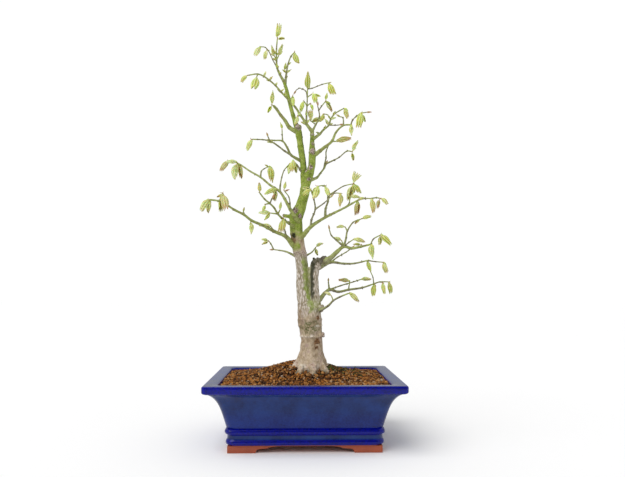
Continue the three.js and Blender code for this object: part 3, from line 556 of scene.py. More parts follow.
def curve_through(points, spacing):
    """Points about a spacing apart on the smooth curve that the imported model's stems follow."""
    held = [2 * points[0] - points[1], *points, 2 * points[-1] - points[-2]]
    line = []
    for a, b, c, d in zip(held, held[1:], held[2:], held[3:]):
        knots = [0.0]
        for first, second in ((a, b), (b, c), (c, d)):
            knots.append(knots[-1] + math.sqrt((second - first).length))
        steps = max(1, round((c - b).length / spacing))
        for step in range(steps):
            at = knots[1] + (knots[2] - knots[1]) * step / steps
            layer = [a, b, c, d]
            for spans in BLEND_SPANS:
                layer = [
                    first.lerp(second, (at - knots[low]) / (knots[high] - knots[low]))
                    for first, second, (low, high) in zip(layer, layer[1:], spans)]
            line.append(layer[0])
    line.append(points[-1].copy())
    return line


# The pot.

def arc(middle_inset, middle_height, radius, start, end, steps):
    """Points of a round moulding, as [inset, height, glaze]. Angles are in degrees, 0 outwards and 90 up."""
    points = []
    for step in range(steps + 1):
        angle = math.radians(start + (end - start) * step / steps)
        points.append((middle_inset - radius * math.cos(angle), middle_height + radius * math.sin(angle), 1.0))
    return points


def pot_profile(tall):
    """The outside from the base up, over the lip and down the inside to the floor, as [inset, height, glaze].
    The glaze is 0 where it ran thin and 1 where it gathered deep. The thin end also paints shade and the floor's
    reflection on the flared wall, in the groove between the bands and on the rim's top."""
    outside = [(36, FOOT_TALL, 0.4), (30.2, FOOT_TALL, 0.4), (29.2, 8.5, 0.5), (28.3, 9.3, 0.8)]
    outside += arc(30.8, 12.9, 4.4, -38, 42, 7)
    outside += [(28.0, 16.9, 0.1), (28.2, 18.5, 0.0), (28.1, 20.6, 0.0), (27.6, 21.6, 0.1)]
    outside += arc(29.8, 26.0, 4.6, -62, 62, 9)
    outside += [(27.1, 30.9, 0.5), (26.6, 32.2, 0.35)]
    wall = [
        (25.6, 36), (24.8, 39), (23.7, 43), (22.6, 47), (21.4, 51), (20.1, 55), (18.6, 59), (17.0, 62.6),
        (15.1, 66), (13.0, 69), (10.8, 71.6), (8.6, 73.5), (7.2, 74.5), (6.6, 74.9), (6.4, 75.5),
    ]
    # The wall's glaze thins upwards, which also paints its top duller and lighter as a painted reflection.
    outside += [(inset, height, 0.3 * (1 - smooth_step(height, 34, 60))) for inset, height in wall]
    outside += arc(3.6, 79.8, 3.6, -76, -8, 6)
    outside += arc(2.0, tall - 2.0, 2.0, 5, 76, 5)
    outside += [(2.6, tall - 0.02, 0.15), (7, tall - 0.1, 0.0), (11, tall - 0.3, 0.0)]
    inside = [(14.6, tall - 0.55, 0.0), (16.1, tall - 0.95, 0.3), (16.9, tall - 1.9, 1.0), (17.1, tall - 3.4, 1.0)]
    inside += [
        (inset, height, 1.0) for inset, height in (
            (17.6, 81), (18.6, 77.5), (22, 70), (27, 61), (31, 50), (34, 35), (35.5, 22), (38, FLOOR_TOP))
    ]
    return outside + inside


def pot_corner(corner, inset, wide, deep):
    """Where a corner of the pot's rounded rectangle goes, with its straight sides split evenly."""
    radius = RIM_CORNER + inset * CORNER_GROWTH
    x, y = wide / 2 - inset - radius, deep / 2 - inset - radius
    quarter, step = divmod(corner, CORNER_STEPS + SIDE_STEPS)
    sign_x = 1 if quarter in (0, 3) else -1
    sign_y = 1 if quarter < 2 else -1
    if step <= CORNER_STEPS:
        angle = (quarter + step / CORNER_STEPS) * math.pi / 2
        return sign_x * x + radius * math.cos(angle), sign_y * y + radius * math.sin(angle)
    share = (step - CORNER_STEPS) / SIDE_STEPS
    start = pot_corner(corner - step + CORNER_STEPS, inset, wide, deep)
    end = pot_corner((quarter + 1) % 4 * (CORNER_STEPS + SIDE_STEPS), inset, wide, deep)
    return start[0] + (end[0] - start[0]) * share, start[1] + (end[1] - start[1]) * share


def foot_leg(bm, flat, curve):
    """One leg of a bracket foot along +X from the corner: its flat and its curve up to the base, drawn out
    and cut off at the mitre."""
    outline = [(0, 0), (flat, 0)]
    outline += [(flat + out, FOOT_TALL * up) for out, up in ((1.2, 0.2), (1.9, 0.42), (3.4, 0.55))]
    outline += [(flat + curve * out, FOOT_TALL * up) for out, up in FOOT_CURVE]
    outline += [(flat + curve, FOOT_TALL + FOOT_SINK), (0, FOOT_TALL + FOOT_SINK)]
    verts = [bm.verts.new((x, 0, z)) for x, z in outline]
    face = bm.faces.new(verts)
    out = bmesh.ops.extrude_face_region(bm, geom=[face])["geom"]
    moved = [item for item in out if isinstance(item, bmesh.types.BMVert)]
    bmesh.ops.translate(bm, verts=moved, vec=(0, FOOT_THICK, 0))
    made = verts + moved
    geom = made + list({f for v in made for f in v.link_faces}) + list({e for v in made for e in v.link_edges})
    bmesh.ops.bisect_plane(bm, geom=geom, plane_co=(0, 0, 0), plane_no=(-1, 1, 0), clear_outer=True, dist=1e-4)


def foot():
    """A bracket foot with its corner at the origin: two legs mitred together, with its edges eased."""
    bm = new_bmesh()
    foot_leg(bm, *SHORT_LEG)
    bmesh.ops.mirror(bm, geom=bm.verts[:] + bm.edges[:] + bm.faces[:], matrix=Matrix(), axis="X", merge_dist=0)
    bmesh.ops.delete(bm, geom=[v for v in bm.verts if v.co.x > 1e-4], context="VERTS")
    bmesh.ops.rotate(bm, verts=bm.verts, matrix=Matrix.Rotation(-math.pi / 2, 3, "Z"))
    foot_leg(bm, *LONG_LEG)
    bmesh.ops.remove_doubles(bm, verts=bm.verts, dist=1e-3)
    bmesh.ops.holes_fill(bm, edges=bm.edges)
    bmesh.ops.recalc_face_normals(bm, faces=bm.faces)
    bm.normal_update()
    keen = [
        edge for edge in bm.edges
        if len(edge.link_faces) == 2 and edge.calc_face_angle(0.0) > KEEN
        and max(vert.co.z for vert in edge.verts) < FOOT_TALL
    ]
    bmesh.ops.bevel(
        bm, geom=keen, offset=FOOT_EASE, offset_type="OFFSET", segments=2, profile=0.5, affect="EDGES",
        clamp_overlap=True, material=-1)
    return bm


class MAPLE_OT_pot(bpy.types.Operator):
    """Makes the glazed pot with its bands, lip, drain holes and unglazed bracket feet"""

    bl_idname = "maple.pot"
    bl_label = "Pot"

    def execute(self, context):
        settings = context.scene.maple_pot
        wide, deep, tall = settings.wide / MM, settings.deep / MM, settings.tall / MM
        sides = 4 * (CORNER_STEPS + SIDE_STEPS)
        profile = pot_profile(tall)
        bm = new_bmesh("glaze_depth_and_shade")

        def place(row, corner):
            inset, height, _ = profile[row]
            return Vector((*pot_corner(corner, inset, wide, deep), height))

        verts = loft(bm, sides, len(profile), place)
        glaze_depth_and_shade = bm.verts.layers.float["glaze_depth_and_shade"]
        # Each row's glaze depth, which also marks where the glaze colour holds painted shade and reflection.
        for i, vert in enumerate(verts):
            vert[glaze_depth_and_shade] = profile[i // sides][2]
        bmesh.ops.recalc_face_normals(bm, faces=bm.faces)
        bm = drilled(bm, [(-DRAIN_X, 0), (DRAIN_X, 0)])
        for sign_x, sign_y in ((-1, -1), (-1, 1), (1, -1), (1, 1)):
            block = foot()
            corner = (sign_x * (wide / 2 - FOOT_INSET), sign_y * (deep / 2 - FOOT_INSET), 0)
            matrix = Matrix.Translation(corner) @ Matrix.Diagonal((-sign_x, -sign_y, 1, 1))
            bmesh.ops.transform(block, matrix=matrix, verts=block.verts)
            if sign_x * sign_y < 0:
                bmesh.ops.reverse_faces(block, faces=block.faces)
            append(bm, block)
        for face in bm.faces:
            middle = face.calc_center_median()
            buried = middle.z < GLAZE_END and face.normal.xy.dot(middle.xy) < -1e-6
            face.material_index = int(middle.z < GLAZE_START or buried)
        for edge in bm.edges:
            edge.smooth = edge.calc_face_angle(0.0) <= SHARP
        add_piece("pot_body", bm, [glazed_stoneware(settings), bare_clay(settings)], ["pot"])
        return {"FINISHED"}


def drilled(bm, places):
    """The pot with a round drain hole through its base at each place."""
    drills = bmesh.new()
    for x, y in places:
        matrix = Matrix.Translation((x, y, FLOOR_TOP / 2))
        bmesh.ops.create_cone(
            drills, cap_ends=True, segments=40, radius1=DRAIN_RADIUS, radius2=DRAIN_RADIUS,
            depth=FLOOR_TOP * 2, matrix=matrix)
    mesh = as_mesh("drills", drills)
    tool = as_object("drills", mesh)
    result = through_modifier(bm, "BOOLEAN", operation="DIFFERENCE", solver="EXACT", object=tool)
    bpy.data.objects.remove(tool)
    bpy.data.meshes.remove(mesh)
    return result


class MAPLE_OT_screens(bpy.types.Operator):
    """Makes the plastic mesh over each drain hole"""

    bl_idname = "maple.screens"
    bl_label = "Drain screens"

    def execute(self, context):
        material = moulded_plastic()
        for node in ("drain_screen_left", "drain_screen_right"):
            low, high = (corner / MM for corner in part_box(node))
            bm = new_bmesh()
            size = (high.x - low.x) / 2
            bmesh.ops.create_grid(bm, x_segments=SCREEN_HOLES, y_segments=SCREEN_HOLES, size=size)
            cells = bmesh.ops.inset_individual(bm, faces=bm.faces[:], thickness=size / SCREEN_HOLES * STRAND)["faces"]
            bmesh.ops.delete(bm, geom=list(set(bm.faces) - set(cells)), context="FACES")
            bmesh.ops.solidify(bm, geom=bm.faces[:], thickness=-(high.z - low.z))
            bmesh.ops.translate(bm, verts=bm.verts, vec=((low.x + high.x) / 2, (low.y + high.y) / 2, low.z))
            bmesh.ops.recalc_face_normals(bm, faces=bm.faces)
            add_piece(node + "_net", bm, [material], [node], smooth=False)
        return {"FINISHED"}


# The soil.

def soil_height(x, y):
    """Height of the soil before its grains."""
    across = (x - MOUND.x) / MOUND_SPREAD_X
    along = (y - MOUND.y) / (MOUND_SPREAD_FRONT if y < MOUND.y else MOUND_SPREAD_BACK)
    return SOIL_EDGE + MOUND_RISE * math.exp(-(across * across + along * along) / 2)


def scattered(chance, count, size, spread, gap):
    """Random places for grains, each with its own width, that stand a share of their widths apart."""
    settings = bpy.context.scene.maple_pot
    half_x, half_y = settings.wide / MM / 2 - LIP_WIDTH, settings.deep / MM / 2 - LIP_WIDTH
    cell = size * 1.6
    cells, places = {}, []
    for _ in range(count):
        width = size * (1 + spread * (chance.random() - 0.5))
        x = chance.uniform(-half_x, half_x)
        y = chance.uniform(-half_y, half_y)
        edge = width * 0.45
        if abs(x) > half_x - edge or abs(y) > half_y - edge or math.hypot(x - TRUNK_X, y) < TRUNK_REACH:
            continue
        column, row = int(x // cell), int(y // cell)
        near = (other for i in (-1, 0, 1) for j in (-1, 0, 1) for other in cells.get((column + i, row + j), ()))
        if all(math.hypot(x - a, y - b) > (width + w) / 2 * gap for a, b, w in near):
            cells.setdefault((column, row), []).append((x, y, width))
            places.append((x, y, width))
    return places


def grain_bed(places, chance, lift, boxy):
    """Lumpy grains at the places, built in strips and joined. Boxy ones are larger and finer in form."""
    bm = new_bmesh("tint")
    for start in range(0, len(places), STRIP_LENGTH):
        strip = new_bmesh("tint")
        tint = strip.verts.layers.float["tint"]
        for x, y, width in places[start:start + STRIP_LENGTH]:
            if boxy:
                verts = bmesh.ops.create_uvsphere(strip, u_segments=6, v_segments=5, radius=0.5)["verts"]
            else:
                verts = bmesh.ops.create_icosphere(strip, subdivisions=1, radius=0.5)["verts"]
            shade = chance.random()
            seed = Vector((x, y, 31.0))
            scale = Vector((1.0, chance.uniform(0.72, 1.0), chance.uniform(0.6, 0.9))) * width
            turn = Matrix.Rotation(chance.uniform(0, math.tau), 3, "Z")
            tip = Matrix.Rotation(chance.uniform(-0.6, 0.6), 3, "X")
            middle = Vector((x, y, soil_height(x, y) + lift + chance.uniform(-0.7, 0.7)))
            for vert in verts:
                way = Vector(math.copysign(abs(part) ** 0.75, part) for part in vert.co.normalized())
                place = way * (0.46 + 0.22 * noise.noise(way * 1.3 + seed))
                vert.co = middle + turn @ tip @ Vector((place.x * scale.x, place.y * scale.y, place.z * scale.z))
                vert[tint] = shade
        append(bm, strip)
    return bm


class MAPLE_OT_soil(bpy.types.Operator):
    """Fills the pot with baked clay grains, with moss and scraps by the trunk"""

    bl_idname = "maple.soil"
    bl_label = "Soil"

    def execute(self, context):
        settings = context.scene.maple_soil
        clay = akadama()
        chance = random.Random(SOIL_SEED)
        bed = packed_copy("soil", "tint")
        tint = bed.verts.layers.float["tint"]
        for vert in bed.verts:
            # The sunk bed takes the darkest tint, partly as painted shade between the grains.
            vert[tint] = BED_SHADE_TINT
            if vert.co.z > SOIL_EDGE - 3:
                vert.co.z -= BED_DEPTH
        add_piece("soil_bed", bed, [clay], ["soil"])
        large = scattered(chance, GRAIN_TRIES, settings.grain / MM, 0.55, 0.8)
        add_piece("soil_grains", grain_bed(large, chance, 0.4, True), [clay], ["soil"])
        small = scattered(chance, FINE_TRIES, settings.fine / MM, 0.6, 0.95)
        add_piece("soil_fines", grain_bed(small, chance, 1.0, False), [clay], ["soil"])
        add_piece("moss_scraps", self.scraps(chance), [moss()], ["soil"])
        return {"FINISHED"}

    def scraps(self, chance):
        """Small ragged tufts of moss right of the trunk, and bits of dead twig."""
        bm = new_bmesh()
        for _ in range(TUFT_TRIES):
            x = 20 + abs(chance.gauss(0, 26))
            y = chance.gauss(2, 14) + 0.3 * (x - 20)
            if math.hypot(x - TRUNK_X, y) < TRUNK_REACH + 3 or x > 96 or y > 70:
                continue
            middle = Vector((x, y, soil_height(x, y) + 1.4))
            tuft = bmesh.ops.create_icosphere(bm, subdivisions=1, radius=chance.uniform(0.9, 2.3))["verts"]
            for vert in tuft:
                vert.co = vert.co * chance.uniform(0.5, 1.35)
                vert.co.z *= 0.7
                vert.co += middle
        for _ in range(DEAD_TWIGS):
            x = chance.uniform(26, 88)
            y = chance.uniform(-30, 45)
            start = Vector((x, y, soil_height(x, y)))
            way = Vector((chance.uniform(-1, 1), chance.uniform(-1, 1), chance.uniform(0.1, 0.7)))
            end = start + way.normalized() * chance.uniform(5, 10)
            middle = (start + end) / 2 + Vector((0, 0, 1.2))
            sweep(bm, curve_through([start, middle, end], 2.0), [0.5] * 20, 5)
        bmesh.ops.recalc_face_normals(bm, faces=bm.faces)
        return bm


# The trunk.

# The trunk's middle from left to right, as [height, x], for telling its left side from its right.
TRUNK_MIDDLE = [
    (58, 7), (121, 9), (163, 7), (184, 4.5), (205, -2), (233, -3.7), (261, -8), (290, -12), (312, -12),
    (326, -5.6), (355, 0.6), (391, -3.3), (434, -9.8), (465, -19.6), (506, -30),
]

# Old cuts, hollows painted dark as shade, and brown flakes of bark, as [middle, radius].
SCARS = [
    ((-15, -10, 317), 5.5), ((-6, -11, 308), 4.5), ((10.5, -14, 401), 4.2), ((-10.5, -6, 439), 4.4),
    ((25.5, -9, 143), 3.2), ((25, -9, 181), 3.6), ((24, -11, 247), 4.0), ((0, -9, 376), 4.0),
    ((7.5, -12, 379), 3.4), ((6, -9, 361), 3.2), ((-31, 4, 311), 3.0), ((11, -13, 426), 2.0), ((11, -13, 412), 2.2),
]
HOLLOWS = [((-16, -8, 281.5), 3.4), ((-16, -6, 319), 2.2)]
FLAKES = [((16.4, -12, 133), 4.8), ((16.8, -13, 126), 3.4), ((17.5, -12, 166), 3.0)]

# The gnarled top of the second trunk, and knuckles at the branches, as [middle, radius].
KNOBS = [
    ((16.4, -7, 244.5), 4.2), ((12.5, -4, 241), 3.4), ((27, -8, 248.5), 3.9), ((22, -7, 245), 4.6),
    ((23, -3, 176), 3.0), ((-13, -6, 299), 3.8), ((-18, -5, 311), 3.2), ((-6, 2, 378), 3.2), ((3.5, -8, 372), 3.6),
    ((-13.5, -1, 436), 2.8),
]

# The bark that closes the cleft between the two trunks.
CLEFT = [Vector((12.5, -3, 190)), Vector((9.5, -3, 214)), Vector((8.0, -3, 237))]
CLEFT_RADIUS = 3.4

# Rings that old buds left right round the wood, as [height, rise].
BARK_RINGS = [
    (140.5, 1.5), (154.5, 1.3), (163, 0.8), (186, 0.7), (226, 0.4), (256, 0.9), (285, 0.9), (350, 0.5),
    (411.6, 1.1), (426, 1.1), (438, 0.9), (458, 0.4), (480, 0.4),
]

# Compass bearings of the roots that run down the flare, and each root's line as [height, way out].
ROOTS = (18, 62, 105, 150, 196, 238, 281, 322)
ROOT_LINE = ((122, 12.5), (108, 17.0), (98, 22.0))
ROOT_END, ROOT_REACH = 89, (26, 30)
ROOT_WIDTH, ROOT_RISE, ROOT_SINK = 11, 4.4, 2.1
TRUNK_FOOT = Vector((7.5, 0))
FLARE_TOP, FLARE_FALL = 97, 11

# Heights between which each kind of bark comes in, and between which it goes.
COARSE_GOES = (190, 300)
SECOND_COMES, SECOND_GOES = (186, 196), (262, 270)
STRIPE_COMES, STRIPE_GOES = (168, 182), (244, 254)
GREY_COMES, GREY_GOES = (158, 180), (250, 262)
LEADER_SHADOW_COMES, LEADER_SHADOW_GOES = (374, 384), (426, 434)
KNOB_COMES, KNOB_GOES = (232, 238), (262, 268)
GREEN_COMES = (268, 292)
CLEFT_SHADE_COMES, TOP_DARKENING_COMES = (186, 200), (238, 243)


def trunk_middle(height):
    """The trunk's middle at a height, from left to right."""
    for (low, left), (high, right) in zip(TRUNK_MIDDLE, TRUNK_MIDDLE[1:]):
        if height <= high:
            return left + (right - left) * max(0.0, (height - low) / (high - low))
    return TRUNK_MIDDLE[-1][1]


def bark_relief(place, zones):
    """How far the bark stands out of the smooth wood, in millimetres."""
    x, y, z = place
    flare = math.exp(-max(0.0, z - FLARE_TOP) / FLARE_FALL)
    bearing = math.degrees(math.atan2(y - TRUNK_FOOT.y, x - TRUNK_FOOT.x)) + 9 * lump(place, 14, 11.0)
    apart = min(abs((bearing - root + 180) % 360 - 180) for root in ROOTS)
    relief = flare * (ROOT_RISE * band(apart, 0, ROOT_WIDTH) - ROOT_SINK)
    tall = Vector((x, y, z * 0.25))
    coarse = 1 - smooth_step(z, *COARSE_GOES)
    relief += (0.3 + 0.5 * coarse) * lump(place, 8, 1.0) + (0.12 + 0.28 * coarse) * lump(tall, 1.7, 7.0)
    relief += 0.9 * coarse * flare * lump(place, 3.2, 5.0)
    for height, rise in BARK_RINGS:
        wander = 2.2 * lump(Vector((x, y, height)), 10, 2.0)
        relief += rise * (0.6 + 0.8 * lump(place, 6, 3.0)) * band(z - height, wander, 1.4)
    relief += zones["scar"] * (0.5 + 1.5 * lump(place, 3.0, 6.0))
    knob = smooth_step(z, *KNOB_COMES) * smooth_step(x, 9, 12) * (1 - smooth_step(z, *KNOB_GOES))
    return relief + 2.6 * knob * lump(place, 3.4, 9.0)


def near_to(place, spots, ragged):
    """For each spot, 1 at its middle and 0 a ragged radius away from it."""
    return [
        1 - smooth_step((place - Vector(middle)).length + 2.2 * ragged, radius - 1.6, radius + 1.2)
        for middle, radius in spots
    ]


def bark_zones(place):
    """What the bark is like at a place, each from 0 to 1."""
    x, y, z = place
    ragged = lump(place, 5, 4.0) + 0.5 * lump(place, 2, 6.0)
    side = x - trunk_middle(z)
    front = smooth_step(-y, -4, 2)
    second = smooth_step(x, 7, 9) * smooth_step(z, *SECOND_COMES) * (1 - smooth_step(z, *SECOND_GOES))
    stripe = smooth_step(z + 7 * ragged, *STRIPE_COMES) * smooth_step(side + 3 * ragged, -0.6, 2.6)
    stripe *= 1 - 0.55 * smooth_step(side + 2 * ragged, 6.6, 8.4)
    upper = smooth_step(z + 7 * ragged, *GREEN_COMES)
    olive = band(z, 266, 7) * smooth_step(3 - side + 2 * ragged, 0, 3)
    scar = max(near_to(place, SCARS, ragged))
    # Painted shade on the second trunk's side by the cleft, its darker top, painted shade in the hollows, a painted
    # shadow on the first leader's side next to the second, and darkening towards the soil.
    # The second trunk's side by the cleft is darkened as painted shade.
    cleft_shade = smooth_step(14.5 + 2.4 * ragged - x, 0, 3) * smooth_step(z + 6 * ragged, *CLEFT_SHADE_COMES)
    # The top of the second trunk is darker.
    top_darkening = 0.8 * smooth_step(z + 5 * ragged, *TOP_DARKENING_COMES)
    # A painted shadow on the first leader's side that faces the second leader.
    leader_shadow = 0.75 * smooth_step(side, 3.2, 4.6) * (1 - smooth_step(x, 4, 5)) * upper
    leader_shadow *= smooth_step(z, *LEADER_SHADOW_COMES) * (1 - smooth_step(z, *LEADER_SHADOW_GOES))
    # The bark darkens towards the soil.
    darkening = 0.7 * smooth_step(FLARE_TOP + 9 * ragged - z, 0, 8)
    algae = band(z, 153, 9) * front * (1 - 0.6 * smooth_step(abs(x - 9), 6, 12))
    brown = sum(near_to(place, FLAKES, ragged))
    brown += 0.8 * band(z, 275, 7) * smooth_step(-side + 2 * ragged, 1, 4)
    brown += 0.45 * smooth_step(-side + 3 * ragged, 7, 11) * band(z, 165, 15)
    # Two of the rings are rubbed pale in front, and so is the flare.
    low_ridge, high_ridge = (band(z - 1.5 * ragged, height, 1.7) for height, _ in BARK_RINGS[:2])
    pale = front * max(low_ridge * smooth_step(6 - side, 0, 4), high_ridge * smooth_step(side, 4, 7))
    pale = max(pale, 0.8 * band(z, 99, 7) * smooth_step(ragged, 0.0, 0.5))
    return {
        "green": max(0.8 * stripe * (1 - smooth_step(z, *STRIPE_GOES)), upper, olive) * (1 - second),
        "speckle": max(smooth_step(z + 9 * ragged, *GREY_COMES) * (1 - smooth_step(z, *GREY_GOES)), second),
        "scar": max(scar, 0.8 * band(z, 257, 4) * smooth_step(ragged, -0.5, 0.3)),
        # The dark zone is mostly painted shade and shadow.
        "dark": max(0.92 * second * max(cleft_shade, top_darkening), *near_to(place, HOLLOWS, ragged), leader_shadow, darkening),
        "algae": min(1.0, 1.6 * algae * smooth_step(ragged, -0.55, 0.15)),
        "brown": min(1.0, brown),
        "pale": pale * smooth_step(ragged, -0.3, 0.4),
    }


class MAPLE_OT_trunk(bpy.types.Operator):
    """Grows bark, root ribs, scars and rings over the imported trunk"""

    bl_idname = "maple.trunk"
    bl_label = "Trunk"

    def execute(self, context):
        settings = context.scene.maple_tree
        bm = packed_copy("trunk")
        self.add_roots(bm)
        for place, radius in KNOBS:
            knob = bmesh.ops.create_icosphere(bm, subdivisions=3, radius=radius)["verts"]
            bmesh.ops.translate(bm, verts=knob, vec=place)
        cleft = curve_through(CLEFT, 4.0)
        sweep(bm, cleft, [CLEFT_RADIUS] * len(cleft), 10)
        bm = through_modifier(bm, "REMESH", mode="VOXEL", voxel_size=settings.skin / MM)
        for factor in (0.5, -0.52) * 5:
            bmesh.ops.smooth_vert(
                bm, verts=bm.verts, factor=factor, use_axis_x=True, use_axis_y=True, use_axis_z=True)
        bm.normal_update()
        tints = {name: bm.verts.layers.float.new(name) for name in bark_zones(UP)}
        for vert in bm.verts:
            zones = bark_zones(vert.co)
            for name, value in zones.items():
                vert[tints[name]] = value
            vert.co += vert.normal * bark_relief(vert.co, zones)
        add_piece("trunk_bark", bm, [maple_bark(settings)], ["trunk"])
        return {"FINISHED"}

    def add_roots(self, bm):
        """Roots that leave the flare and run under the soil."""
        chance = random.Random(ROOT_SEED)
        for root in ROOTS:
            angle = math.radians(root)
            way = Vector((math.cos(angle), math.sin(angle), 0))
            middle = TRUNK_FOOT.to_3d()
            line = curve_through([
                middle + UP * height + way * out
                for height, out in (*ROOT_LINE, (ROOT_END, chance.uniform(*ROOT_REACH)))], 3.0)
            rows = len(line)
            sweep(bm, line, [1.6 + 2.8 * i / rows for i in range(rows)], 8)


# The branches and leaves.

def twig(at, bearing, path, grows=(), twigs=(), thick=0.7, thin=0.7):
    """A stem from its parent's numbered point on a compass bearing: 0 right, 90 back, 180 left, 270 front.
    Its path holds [out, up] or [out, up, aside] from there, where aside is to the left of the bearing. It
    grows leaves, each as [angle, length, spread], and closed buds, each as [angle, length]."""
    return {"at": at, "bearing": bearing, "path": path, "grows": grows, "twigs": twigs, "radii": (thick, thin)}


def limb(root, bearing, thick, thin, path, grows=(), twigs=()):
    """A stem that leaves the trunk at its root."""
    return {"root": root, **twig(0, bearing, path, grows, twigs, thick, thin)}


